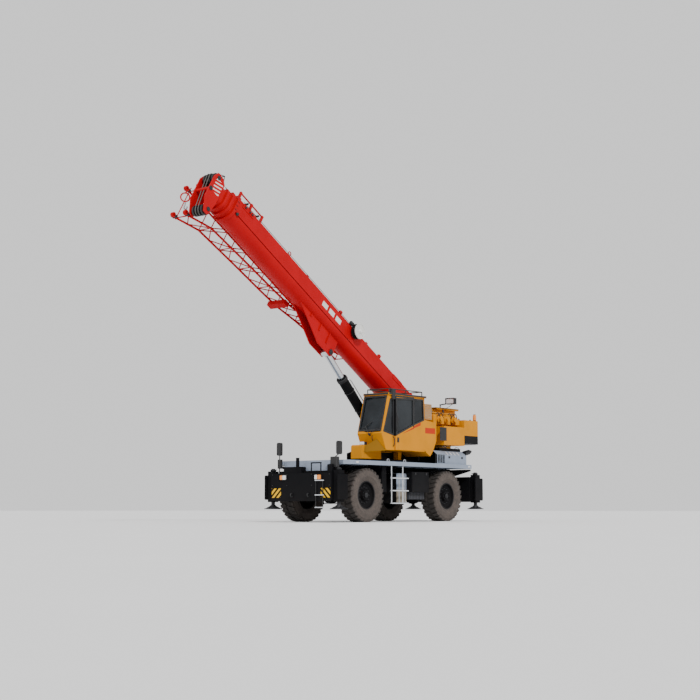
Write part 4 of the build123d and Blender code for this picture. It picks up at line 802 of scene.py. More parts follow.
class Bench:
    """Hand tools: primitives shaped in edit mode and joined into finished pieces."""

    def __init__(self, stocks: dict[str, Stock]) -> None:
        """Keep the finishes by short name."""
        self.stocks = stocks

    def clear(self) -> None:
        """Deselect everything."""
        bpy.ops.object.select_all(action="DESELECT")

    def hold(self, part: Part) -> None:
        """Select one part alone and make it active."""
        self.clear()
        part.select_set(True)
        bpy.context.view_layer.objects.active = part

    def settle(self, part: Part) -> Part:
        """Put a part's place, turn and size into its mesh."""
        self.hold(part)
        bpy.ops.object.transform_apply(location=True, rotation=True, scale=True)
        return part

    def edit(self, part: Part, *moves: Callable[[], object]) -> None:
        """Run edit-mode moves with everything selected at the start.

        Args:
            part: The part to shape.
            moves: Calls to make in edit mode, in order.
        """
        self.hold(part)
        bpy.ops.object.mode_set(mode="EDIT")
        bpy.ops.mesh.select_all(action="SELECT")
        for move in moves:
            move()
        bpy.ops.object.mode_set(mode="OBJECT")

    def block(self, low: Sequence[float], high: Sequence[float], soft: float = 0.006) -> Part:
        """A box with broken edges between two corners in the machine's frame."""
        low, high = Vector(low), Vector(high)
        self.clear()
        bpy.ops.mesh.primitive_cube_add(size=1.0, location=(low + high) / 2, scale=high - low)
        part = self.settle(bpy.context.object)
        limit = min(soft, min(high - low) * 0.3)
        self.edit(part, lambda: bpy.ops.mesh.bevel(offset=limit, segments=1, affect="EDGES"))
        return part

    def rod(self, a: Vector, b: Vector, radius: float, sides: int = 10) -> Part:
        """A round bar with broken ends."""
        run = b - a
        self.clear()
        bpy.ops.mesh.primitive_cylinder_add(
            vertices=sides, radius=radius, depth=run.length, location=(a + b) / 2,
            rotation=run.to_track_quat("Z", "Y").to_euler(),
        )
        part = self.settle(bpy.context.object)
        if sides > 6:
            self.edit(
                part,
                lambda: bpy.ops.mesh.select_mode(type="FACE"),
                lambda: bpy.ops.mesh.select_all(action="DESELECT"),
            )
            for face in part.data.polygons:
                face.select = len(face.vertices) > 4
            bpy.ops.object.mode_set(mode="EDIT")
            bpy.ops.mesh.bevel(offset=min(radius * 0.2, run.length * 0.2), segments=1, affect="EDGES")
            bpy.ops.object.mode_set(mode="OBJECT")
        return part

    def pipe(self, points: Sequence[Vector], radius: float, curved: bool = True) -> Part:
        """A hose or bent tube along points."""
        data = bpy.data.curves.new("pipe", "CURVE")
        data.dimensions = "3D"
        data.bevel_depth = radius
        data.bevel_resolution = 1
        data.use_fill_caps = True
        spline = data.splines.new("NURBS" if curved else "POLY")
        spline.points.add(len(points) - 1)
        for knot, point in zip(spline.points, points):
            knot.co = (*point, 1.0)
        if curved:
            spline.order_u = 3
            spline.use_endpoint_u = True
            data.resolution_u = 6
        part = bpy.data.objects.new("pipe", data)
        bpy.context.collection.objects.link(part)
        self.hold(part)
        bpy.ops.object.convert(target="MESH")
        return bpy.context.object

    def flat(self, outline: Sequence[Vector]) -> Part:
        """A flat face with its corners on an outline."""
        self.clear()
        bpy.ops.mesh.primitive_circle_add(vertices=len(outline), radius=1.0, fill_type="NGON")
        part = bpy.context.object
        for corner, point in zip(part.data.vertices, outline):
            corner.co = point
        return part

    def plate(self, outline: Sequence[Vector], push: Vector, soft: float = 0.003) -> Part:
        """A flat plate: an outline pushed through its thickness."""
        part = self.flat(outline)
        self.edit(
            part,
            lambda: bpy.ops.mesh.extrude_region_move(TRANSFORM_OT_translate={"value": tuple(push)}),
            lambda: bpy.ops.mesh.select_all(action="SELECT"),
            lambda: bpy.ops.mesh.normals_make_consistent(inside=False),
            lambda: bpy.ops.mesh.bevel(offset=min(soft, push.length * 0.25), segments=1, affect="EDGES"),
        )
        return part

    def flank(
        self, side: float, x: tuple[float, float], y: tuple[float, float], z: tuple[float, float], soft: float
    ) -> Part:
        """A block on one side, its y given as distances from the middle."""
        near, far = sorted((side * y[0], side * y[1]))
        return self.block(spot(x[0], near, z[0]), spot(x[1], far, z[1]), soft)

    def rim(self, outline: Sequence[Vector], push: Vector, width: float) -> Part:
        """A flat frame: an outline with its middle cut away, pushed through its thickness."""
        part = self.flat(outline)
        self.edit(
            part,
            lambda: bpy.ops.mesh.select_mode(type="FACE"),
            lambda: bpy.ops.mesh.select_all(action="SELECT"),
            lambda: bpy.ops.mesh.inset(thickness=width, depth=0.0),
            lambda: bpy.ops.mesh.delete(type="FACE"),
            lambda: bpy.ops.mesh.select_all(action="SELECT"),
            lambda: bpy.ops.mesh.extrude_region_move(TRANSFORM_OT_translate={"value": tuple(push)}),
            lambda: bpy.ops.mesh.select_all(action="SELECT"),
            lambda: bpy.ops.mesh.normals_make_consistent(inside=False),
        )
        return part

    def lathe(
        self, steps: Sequence[tuple[float, float]], centre: Vector, axis: Vector, sides: int = 24
    ) -> Part:
        """A turned part: a disc extruded and widened or narrowed step by step.

        Args:
            steps: Height along the axis and radius, from the foot up.
            centre: Where height nought lies.
            axis: The turning axis.
            sides: Faces round it.

        Returns:
            The part, settled in place.
        """
        self.clear()
        height, radius = steps[0]
        bpy.ops.mesh.primitive_circle_add(
            vertices=sides, radius=radius, fill_type="NGON", location=(0.0, 0.0, height)
        )
        part = self.settle(bpy.context.object)
        moves: list[Callable[[], object]] = []
        for level, reach in steps[1:]:
            rise, grow = level - height, reach / radius
            moves.append(lambda rise=rise: bpy.ops.mesh.extrude_region_move(
                TRANSFORM_OT_translate={"value": (0.0, 0.0, rise)}))
            moves.append(lambda grow=grow: bpy.ops.transform.resize(
                value=(grow, grow, 1.0), center_override=(0.0, 0.0, 0.0)))
            height, radius = level, reach
        moves.append(lambda: bpy.ops.mesh.select_all(action="SELECT"))
        moves.append(lambda: bpy.ops.mesh.normals_make_consistent(inside=False))
        self.edit(part, *moves)
        part.rotation_euler = axis.to_track_quat("Z", "Y").to_euler()
        part.location = centre
        return self.settle(part)

    def ring(self, centre: Vector, axis: Vector, radius: float, thick: float, sides: int = 20) -> Part:
        """A round ring."""
        self.clear()
        bpy.ops.mesh.primitive_torus_add(
            major_radius=radius, minor_radius=thick, major_segments=sides, minor_segments=6,
            location=centre, rotation=axis.to_track_quat("Z", "Y").to_euler(),
        )
        return self.settle(bpy.context.object)

    def twin(self, part: Part, matrix: Matrix) -> Part:
        """A copy with its own mesh, moved by a matrix."""
        copy = part.copy()
        copy.data = part.data.copy()
        bpy.context.collection.objects.link(copy)
        copy.data.transform(matrix)
        return copy

    def row(self, part: Part, steps: Iterable[Vector]) -> list[Part]:
        """The part and a copy of it at each further step."""
        return [part] + [self.twin(part, Matrix.Translation(step)) for step in steps]

    def circle(self, part: Part, centre: Vector, axis: str, count: int) -> list[Part]:
        """The part and copies of it, evenly round a centre."""
        turned = [part]
        for index in range(1, count):
            turn = Matrix.Rotation(2 * math.pi * index / count, 4, axis)
            turned.append(self.twin(part, Matrix.Translation(centre) @ turn @ Matrix.Translation(-centre)))
        return turned

    def finish(self, parts: list[Part], name: str, body: str, stock: str) -> Part:
        """Join parts into one piece with its finish, and let it ride on a body.

        Args:
            parts: The parts, whose meshes are already in place.
            name: The piece's name.
            body: The body that carries it.
            stock: Short name of its finish.

        Returns:
            The finished piece.
        """
        self.clear()
        for part in parts:
            part.select_set(True)
        bpy.context.view_layer.objects.active = parts[0]
        if len(parts) > 1:
            bpy.ops.object.join()
        piece = bpy.context.view_layer.objects.active
        piece.name = name
        piece.data.name = name
        piece.data.materials.clear()
        piece.data.materials.append(self.stocks[stock].material)
        self.hold(piece)
        bpy.ops.object.shade_smooth_by_angle(angle=SMOOTH_ANGLE)
        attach(piece, body)
        LOG.info("made %s", name)
        return piece


@dataclass
class WheelTrim:
    """Nuts, hub cap and valve of one wheel."""

    corner: str
    nut_circle: float = 0.225
    nut_count: int = 12
    rim_face: float = 0.09

    def build(self, bench: Bench) -> None:
        """Make the wheel's small parts."""
        centre = middle_of("rim_" + self.corner)
        side = 1.0 if centre.y > 0 else -1.0
        out = Vector((0.0, side, 0.0))
        face = centre + out * self.rim_face
        stud = bench.lathe(
            ((0.0, 0.022), (0.02, 0.022), (0.024, 0.014), (0.045, 0.012)),
            face + Vector((self.nut_circle, 0, 0)), out, 6,
        )
        body = "wheel_" + self.corner
        bench.finish(bench.circle(stud, face, "Y", self.nut_count), "nuts_" + self.corner, body, "dark")
        cap = bench.lathe(
            ((0.17, 0.075), (0.2, 0.072), (0.205, 0.05), (0.214, 0.046), (0.214, 0.02), (0.222, 0.016)),
            centre, out, 20,
        )
        small = bench.lathe(
            ((0.16, 0.011), (0.176, 0.011), (0.18, 0.007)), centre + Vector((0.115, 0, 0)), out, 6
        )
        bench.finish([cap] + bench.circle(small, centre, "Y", 10), "hub_cap_" + self.corner, body, "dark")
        lip = bench.ring(centre + out * 0.199, out, 0.374, 0.007, 48)
        valve = bench.rod(face + Vector((0, 0, 0.27)), face + Vector((0, side * 0.06, 0.3)), 0.008, 6)
        bench.finish([lip, valve], "rim_lip_" + self.corner, body, "dark")


@dataclass
class JackTrim:
    """Float gussets, head flange and hose of one outrigger."""

    corner: str
    gusset_count: int = 6

    def build(self, bench: Bench) -> None:
        """Make the outrigger's small parts."""
        low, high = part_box("jack_" + self.corner)
        x, y = (low[0] + high[0]) / 2, (low[1] + high[1]) / 2
        side = 1.0 if y > 0 else -1.0
        foot = Vector((x, y, 0.0))
        web = bench.plate(
            [foot + Vector(p) for p in ((0.05, -0.006, 0.4), (0.2, -0.006, 0.4), (0.06, -0.006, 0.47))],
            Vector((0, 0.012, 0)), 0.002,
        )
        webs = bench.circle(web, foot, "Z", self.gusset_count)
        bench.finish(webs, "float_webs_" + self.corner, "jack_" + self.corner, "dark")
        _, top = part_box("beam_" + self.corner)
        crown = bench.lathe(
            ((0.0, 0.085), (0.018, 0.085), (0.02, 0.06), (0.05, 0.056), (0.056, 0.03)),
            Vector((x, y, top[2] - 0.026)), UP, 16,
        )
        level = top[2] - 0.01
        port = bench.rod(Vector((x, y - side * 0.06, level)), Vector((x, y - side * 0.13, level)), 0.014, 8)
        bench.finish([crown, port], "jack_crown_" + self.corner, "beam_" + self.corner, "dark")


@dataclass
class BoomTrim:
    """Ropes, guides, reel parts, jib fittings and pins on the boom."""

    rope_radius: float = 0.013
    rope_lanes: tuple[float, ...] = (-0.05, 0.05)
    half_width: float = 0.33
    rod_height: float = 0.76
    rod_span: tuple[float, float] = (9.0, 10.0)

    def slab(
        self, bench: Bench, u: tuple[float, float], y: tuple[float, float], w: tuple[float, float],
        soft: float = 0.004,
    ) -> Part:
        """A block square to the boom."""
        corners = boom_path(((u[0], w[0]), (u[1], w[0]), (u[1], w[1]), (u[0], w[1])), y[0])
        return bench.plate(corners, Vector((0, y[1] - y[0], 0)), soft)

    def post(self, bench: Bench, u: float, y: float, size: tuple[float, float], height: float) -> Part:
        """A block standing on the boom's top, half as long and as wide as its two sizes say."""
        along, across = size
        return self.slab(bench, (u - along, u + along), (y - across, y + across), (BOOM_TOP - SINK, height))

    def bar(
        self, bench: Bench, u: float, w: float, y: tuple[float, float], radius: float, sides: int
    ) -> Part:
        """A round bar across the boom from one side distance to another."""
        return bench.rod(boom_point(u, y[0], w), boom_point(u, y[1], w), radius, sides)

    def build(self, bench: Bench) -> None:
        """Make everything on the boom."""
        self.ropes(bench)
        self.guides(bench)
        self.seams(bench)
        self.reel(bench)
        self.jib_fittings(bench)
        self.head(bench)
        self.pins(bench)

    def ropes(self, bench: Bench) -> None:
        """Taut hoist ropes over the boom's top, one stretch on each section."""
        stretches = (
            ("base", "boom_base", ((0.5, 0.585), (5.0, 0.585), (10.07, 0.605))),
            ("two", "boom_section_2", ((10.11, 0.605), (10.25, 0.606))),
            ("three", "boom_section_3", ((10.29, 0.606), (10.43, 0.607))),
            ("head", "boom_section_4", (
                (10.47, 0.608), (10.9, 0.63), (10.97, 0.6), (11.05, 0.55), (11.068, 0.47), (10.955, -0.47),
                (10.92, -0.575), (10.86, -0.645), (10.79, -0.66), (10.74, -0.65),
            )),
        )
        for name, body, path in stretches:
            lines = [
                bench.pipe(boom_path(path, lane), self.rope_radius, curved=False) for lane in self.rope_lanes
            ]
            bench.finish(lines, "hoist_ropes_" + name, body, "rope")

    def guides(self, bench: Bench) -> None:
        """Rope rollers, the guide rods near the boom's end and the small top fittings."""
        red: list[Part] = []
        dark: list[Part] = []
        for u in (0.75, 3.4, 6.6):
            red += [self.post(bench, u, y, (0.05, 0.008), 0.66) for y in (-0.17, 0.17)]
            dark.append(self.bar(bench, u, 0.615, (-0.165, 0.165), 0.028, 12))
        first, last = self.rod_span
        for y in (-0.2, 0.2):
            red.append(bench.rod(
                boom_point(first, y, self.rod_height), boom_point(last, y, self.rod_height), 0.022, 10
            ))
            for u in (first, (first + last) / 2, last):
                red.append(self.post(bench, u, y, (0.035, 0.03), self.rod_height + 0.03))
        dark += [self.bar(bench, u, 0.7, (-0.2, 0.2), 0.03, 12) for u in (9.12, 9.62)]
        red += [self.post(bench, u, 0.24, (0.05, 0.04), 0.64) for u in (2.78, 4.94)]
        dark.append(self.slab(bench, (4.38, 4.52), (0.3, 0.38), (0.5, 0.6)))
        red += [self.post(bench, u, 0.0, (0.12, 0.06), 0.578) for u in (1.6, 7.4, 8.6)]
        red.append(bench.ring(boom_point(7.61, 0.24, 0.61), LEFT, 0.055, 0.014, 18))
        bench.finish(red, "boom_guides", "boom_base", "red")
        bench.finish(dark, "boom_rollers", "boom_base", "dark")

    def seams(self, bench: Bench) -> None:
        """Weld seams, edge strips and the dark fittings on the sides."""
        red: list[Part] = []
        black: list[Part] = []
        for side in SIDES:
            near, far = side * (self.half_width - 0.001), side * (self.half_width + 0.006)
            red.append(self.slab(bench, (0.6, 10.0), (near, far), (0.053, 0.069), 0.002))
            for u in (1.5, 9.35):
                outer = side * (self.half_width + 0.012)
                red.append(self.slab(bench, (u, u + 0.5), (near, outer), (0.36, 0.5)))
            for u in (9.45, 9.55, 9.75):
                black.append(self.bar(bench, u, 0.43, (near, side * 0.375), 0.028, 10))
            black.append(self.bar(bench, 9.93, 0.05, (near, side * 0.39), 0.045, 12))
            for u in (10.03, 10.07):
                for w in (0.12, 0.24, 0.36):
                    black.append(self.bar(bench, u, w, (side * 0.345, side * 0.362), 0.013, 6))
        bench.finish(red, "boom_seams", "boom_base", "red")
        cable = (
            (4.3, 0.36, 0.48), (5.0, 0.345, 0.505), (7.0, 0.342, 0.508), (9.0, 0.342, 0.508), (9.9, 0.36, 0.5)
        )
        black.append(bench.pipe([boom_point(*knot) for knot in cable], 0.007))
        bench.finish(black, "boom_side_fittings", "boom_base", "plastic")

    def reel(self, bench: Bench) -> None:
        """Cable turns, spokes and hub of the cable reel."""
        centre = middle_of("cable_reel")
        turns = [
            bench.ring(Vector((centre.x, y, centre.z)), LEFT, 0.175 + 0.004 * (layer % 2), 0.011, 28)
            for layer, y in enumerate((0.425, 0.44, 0.455, 0.47, 0.485, 0.5))
        ]
        bench.finish(turns, "reel_cable_turns", "boom_base", "hose")
        out = LEFT
        _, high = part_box("cable_reel")
        face = Vector((centre.x, high[1], centre.z))
        hub = bench.lathe(((0.0, 0.07), (0.02, 0.068), (0.03, 0.045), (0.045, 0.04)), face, out, 18)
        outline = ((0.06, 0, -0.012), (0.2, 0, -0.008), (0.2, 0, 0.008), (0.06, 0, 0.012))
        spoke = bench.plate([face + Vector(p) for p in outline], out * 0.008, 0.002)
        rim = bench.ring(face + out * 0.004, out, 0.214, 0.008, 32)
        bench.finish([hub, rim] + bench.circle(spoke, face, "Y", 8), "reel_face", "boom_base", "white")

    def jib_fittings(self, bench: Bench) -> None:
        """Root pins, carriers, hook ring and hook on the stowed jib."""
        dark: list[Part] = []
        for y in (-0.45, -0.91):
            for w in (-0.56, 0.37):
                dark.append(self.bar(bench, 10.785, w, (y - 0.07, y + 0.07), 0.045, 12))
        for u in (6.3, 9.3, 9.62):
            dark.append(self.slab(bench, (u - 0.07, u + 0.07), (-0.335, -0.42), (0.05, 0.36)))
            dark.append(self.bar(bench, u, 0.3, (-0.42, -0.5), 0.035, 10))
        bench.finish(dark, "jib_pins", "boom_base", "dark")
        beam = self.slab(bench, (6.38, 6.58), (-0.335, -0.98), (-0.26, -0.12))
        bench.finish([beam], "jib_carrier_beam", "boom_base", "red")
        middle = boom_point(10.85, -0.8, 0.05)
        reach = Vector((0, 0, 0.12))
        ring = bench.ring(middle, Vector((0.6, 0.7, 0.1)), reach.z, 0.02, 24)
        strap = bench.rod(middle + reach, boom_point(10.8, -0.8, 0.42), 0.014, 8)
        bench.finish([ring, strap], "jib_ring", "boom_base", "red")
        bends = ((0, 0), (0, -0.09), (0.06, -0.16), (0, -0.23), (-0.07, -0.17), (-0.07, -0.12))
        hook = bench.pipe([middle - reach + Vector((along, 0, down)) for along, down in bends], 0.022)
        bench.finish([hook], "jib_hook", "boom_base", "steel")

    def head(self, bench: Bench) -> None:
        """Guard frame over the top sheaves, pin caps and wear-pad bolts."""
        path = ((10.99, 0.52), (10.96, 0.59), (10.72, 0.72), (10.66, 0.5))
        bars = [bench.pipe(boom_path(path, y), 0.014, curved=False) for y in (-0.2, 0.2)]
        bars += [self.bar(bench, u, w, (-0.2, 0.2), 0.014, 8) for u, w in path[1:3]]
        bench.finish(bars, "head_guard", "boom_section_4", "dark")
        caps = []
        steps = ((0.0, 0.062), (0.014, 0.062), (0.018, 0.045), (0.026, 0.04))
        for u, w in ((10.91, 0.47), (10.79, -0.5), (11.01, 0.04)):
            for side in SIDES:
                caps.append(bench.lathe(steps, boom_point(u, side * 0.274, w), Vector((0, side, 0)), 16))
        bench.finish(caps, "head_pin_caps", "boom_section_4", "dark")
        for name, body, u, drop in (
            ("two", "boom_section_2", 10.235, 0.04), ("three", "boom_section_3", 10.415, 0.08),
        ):
            bolts = [
                bench.rod(boom_point(u, y, 0.57 - drop), boom_point(u, y, 0.584 - drop), 0.014, 6)
                for y in (-0.18, -0.12, 0.12, 0.18)
            ]
            bench.finish(bolts, "collar_bolts_" + name, body, "dark")

    def pins(self, bench: Bench) -> None:
        """Caps of the luffing cylinder's upper pin and stiffeners on its bracket."""
        eye_u, eye_w = LUFF_EYE
        steps = ((0.0, 0.085), (0.012, 0.085), (0.018, 0.06), (0.03, 0.055))
        parts = [
            bench.lathe(steps, boom_point(eye_u, side * 0.176, eye_w), Vector((0, side, 0)), 18)
            for side in SIDES
        ]
        bench.finish(parts, "luff_pin_caps", "boom_base", "dark")
        ribs = []
        for side in SIDES:
            for u in (4.95, 5.4, 5.9):
                depth = eye_w + (u - 4.64) * 0.27
                ribs.append(self.slab(
                    bench, (u - 0.012, u + 0.012), (side * 0.16, side * 0.2), (depth, -0.16), 0.002
                ))
        bench.finish(ribs, "bracket_ribs", "boom_base", "red")


@dataclass
class CylinderTrim:
    """Oil pipe, clamps and gland of the luffing cylinder."""

    foot: Vector = field(default_factory=lambda: Vector((-0.351 - MIDDLE, 0.0, 2.328)))
    radius: float = 0.15

    def build(self, bench: Bench) -> None:
        """Make the cylinder's small parts."""
        eye_u, eye_w = LUFF_EYE
        run = (boom_point(eye_u, 0.0, eye_w) - self.foot).normalized()
        up = Vector((-run.z, 0.0, run.x))

        def at(s: float, y: float, lift: float) -> Vector:
            """Place along, beside and above the cylinder."""
            return self.foot + run * s + Vector((0, y, 0)) + up * lift

        routes = (
            (0.016, ((0.32, 0.1, 0.1), (0.34, 0.14, 0.14), (0.5, 0.145, 0.145), (2.3, 0.145, 0.145),
                     (2.44, 0.14, 0.14), (2.46, 0.1, 0.1))),
            (0.013, ((0.3, 0.15, 0.0), (0.32, 0.185, 0.0), (0.45, 0.19, 0.0), (1.2, 0.19, 0.0),
                     (1.3, 0.17, 0.0))),
        )
        pipes = [bench.pipe([at(*knot) for knot in route], radius) for radius, route in routes]
        bench.finish(pipes, "cylinder_pipes", "cylinder_barrel", "steel")
        clamps = [bench.ring(at(s, 0.0, 0.0), run, self.radius + 0.006, 0.009, 28) for s in (0.7, 1.4, 2.1)]
        gland = bench.lathe(((2.5, 0.152), (2.52, 0.166), (2.6, 0.166), (2.612, 0.152)), self.foot, run, 28)
        valve = bench.block(at(0.42, -0.07, 0.0) - Vector((0.06, 0, 0.0)) + up * 0.13,
                            at(0.42, 0.07, 0.0) + Vector((0.06, 0, 0.1)) + up * 0.13, 0.01)
        bench.finish(clamps + [gland, valve], "cylinder_gland", "cylinder_barrel", "dark")


@dataclass
class WinchTrim:
    """Rope turns on a drum."""

    name: str
    lay: float = 0.026
    turns: int = 22

    def build(self, bench: Bench) -> None:
        """Make the turns."""
        centre = middle_of(self.name)
        start = Vector((centre.x, -self.lay * (self.turns - 1) / 2, centre.z))
        ring = bench.ring(start, LEFT, 0.187, 0.014, 24)
        steps = [Vector((0, self.lay * index, 0)) for index in range(1, self.turns)]
        bench.finish(bench.row(ring, steps), "rope_turns_" + self.name, self.name, "rope")


@dataclass
class CabTrim:
    """Window seals, wiper, grips, roof fittings and lamps of the cab."""

    side_y: float = 1.2752
    door_y: float = 1.3212
    inner_y: float = 0.4098
    seal_width: float = 0.05

    def outline(self, points: Sequence[tuple[float, float]], y: float, grow: float = 0.03) -> list[Vector]:
        """A window's outline on a side wall, a little larger than the glass."""
        mid_x = sum(p[0] for p in points) / len(points)
        mid_z = sum(p[1] for p in points) / len(points)
        span = max(abs(p[0] - mid_x) for p in points)
        rise = max(abs(p[1] - mid_z) for p in points)
        return [
            spot(mid_x + (px - mid_x) * (1 + grow / span), y, mid_z + (pz - mid_z) * (1 + grow / rise))
            for px, pz in points
        ]

    def build(self, bench: Bench) -> None:
        """Make everything on the cab."""
        self.seals(bench)
        self.wiper(bench)
        self.roof(bench)
        self.grips(bench)
        self.lamps(bench)

    def seals(self, bench: Bench) -> None:
        """Black frames round the panes."""
        out = Vector((0, 0.004, 0))
        fixed = [
            bench.rim(self.outline(shape, self.side_y), out, self.seal_width)
            for shape in (
                ((0.72, 2.495), (1.19, 2.595), (0.885, 3.505), (0.72, 3.525)),
                ((-0.8, 2.995), (-0.31, 2.83), (-0.31, 3.575), (-0.775, 3.59)),
            )
        ]
        inner = self.outline(((-0.7, 2.75), (1.1, 2.65), (0.9, 3.52), (-0.7, 3.52)), self.inner_y)
        fixed.append(bench.rim(inner, Vector((0, -0.004, 0)), self.seal_width))
        lean = 0.2946

        def screen(y: float, z: float) -> Vector:
            """Place on the leaning front."""
            return spot(1.3 - (z - 2.52) * lean + 0.002, y, z)

        normal = Vector((1.0, 0.0, lean)).normalized()
        corners = ((0.43, 2.585), (1.255, 2.585), (1.255, 3.62), (0.43, 3.62))
        fixed.append(bench.rim([screen(*corner) for corner in corners], normal * 0.008, 0.055))
        bench.finish(fixed, "window_seals", "superstructure", "plastic")
        pane = ((-0.205, 2.805), (0.625, 2.49), (0.63, 3.55), (-0.205, 3.575))
        door = bench.rim(self.outline(pane, self.door_y, 0.022), out, self.seal_width)
        low, high = spots((-0.25, self.door_y - 0.002, 3.585), (0.67, self.door_y + 0.008, 3.628))
        rail = bench.block(low, high, 0.003)
        bench.finish([door, rail], "door_seal", "cab_door", "plastic")

    def wiper(self, bench: Bench) -> None:
        """Wiper with its arms and the grip under the windscreen."""
        pivot = spot(1.34, 0.86, 2.5)
        grip = ((1.2, 2.3), (1.27, 2.3), (1.3, 2.45), (1.25, 2.46))
        parts = [
            bench.rod(spot(1.28, 0.86, 2.47), pivot + Vector((0.02, 0, 0.01)), 0.03, 12),
            bench.rod(pivot, spot(1.3, 0.7, 2.72), 0.009, 6),
            bench.rod(pivot, spot(1.31, 1.14, 2.66), 0.009, 6),
            bench.rod(spot(1.29, 0.6, 2.66), spot(1.21, 0.86, 2.86), 0.011, 6),
            bench.pipe([spot(x, 0.93, z) for x, z in grip], 0.011),
        ]
        bench.finish(parts, "wiper", "superstructure", "plastic")

    def roof(self, bench: Bench) -> None:
        """Hatch, edge strips and beacon lens."""
        strips = [
            bench.block(spot(-0.88, 1.318, 3.65), spot(0.98, 1.328, 3.698), 0.003),
            bench.block(spot(0.995, 0.42, 3.645), spot(1.012, 1.3, 3.695), 0.003),
            bench.block(spot(-0.35, 0.6, 3.698), spot(0.3, 1.1, 3.735), 0.012),
            bench.block(spot(0.69, 1.284, 3.52), spot(0.835, 1.34, 3.815), 0.008),
        ]
        bench.finish(strips, "roof_trim", "superstructure", "plastic")
        steps = ((0.03, 0.056), (0.17, 0.053), (0.2, 0.046), (0.222, 0.025))
        dome = bench.lathe(steps, spot(-3.74, 1.175, 3.1), UP, 20)
        bench.finish([dome], "beacon_lens", "superstructure", "amber")

    def grips(self, bench: Bench) -> None:
        """Door handle and grab rails."""
        near, far = self.door_y, self.door_y + 0.045
        handle = bench.block(spot(0.53, near - 0.001, 2.28), spot(0.6, near + 0.03, 2.42), 0.008)
        bends = ((near, 2.6), (far, 2.62), (far, 3.1), (near, 3.12))
        pull = bench.pipe([spot(0.63, y, z) for y, z in bends], 0.012)
        bench.finish([handle, pull], "door_grips", "cab_door", "plastic")
        path = spots((0.74, 1.274, 2.16), (0.74, 1.33, 2.18), (0.74, 1.33, 2.42), (0.74, 1.274, 2.44))
        rail = bench.pipe(path, 0.013)
        bench.finish([rail], "cab_grab_rail", "superstructure", "plastic")

    def lamps(self, bench: Bench) -> None:
        """Lenses of the roof lamp, floodlight and nose lamp."""
        lenses = [
            bench.block(spot(-2.782, 0.755, 3.62), spot(-2.77, 1.045, 3.77), 0.004),
            bench.block(spot(1.474, 0.61, 2.198), spot(1.488, 0.79, 2.276), 0.006),
        ]
        bench.finish(lenses, "work_lamp_lenses", "superstructure", "lens")
        corners = ((0.735, 3.6), (1.065, 3.6), (1.065, 3.795), (0.735, 3.795))
        frame = bench.rim([spot(-2.772, y, z) for y, z in corners], Vector((0.02, 0, 0)), 0.022)
        cable = bench.pipe(spots(
            (-2.91, 0.95, 3.76), (-3.1, 0.93, 3.8), (-3.25, 0.8, 3.72), (-3.2, 0.6, 3.56), (-3.1, 0.5, 3.49)
        ), 0.009)
        bench.finish([frame, cable], "floodlight_frame", "superstructure", "plastic")


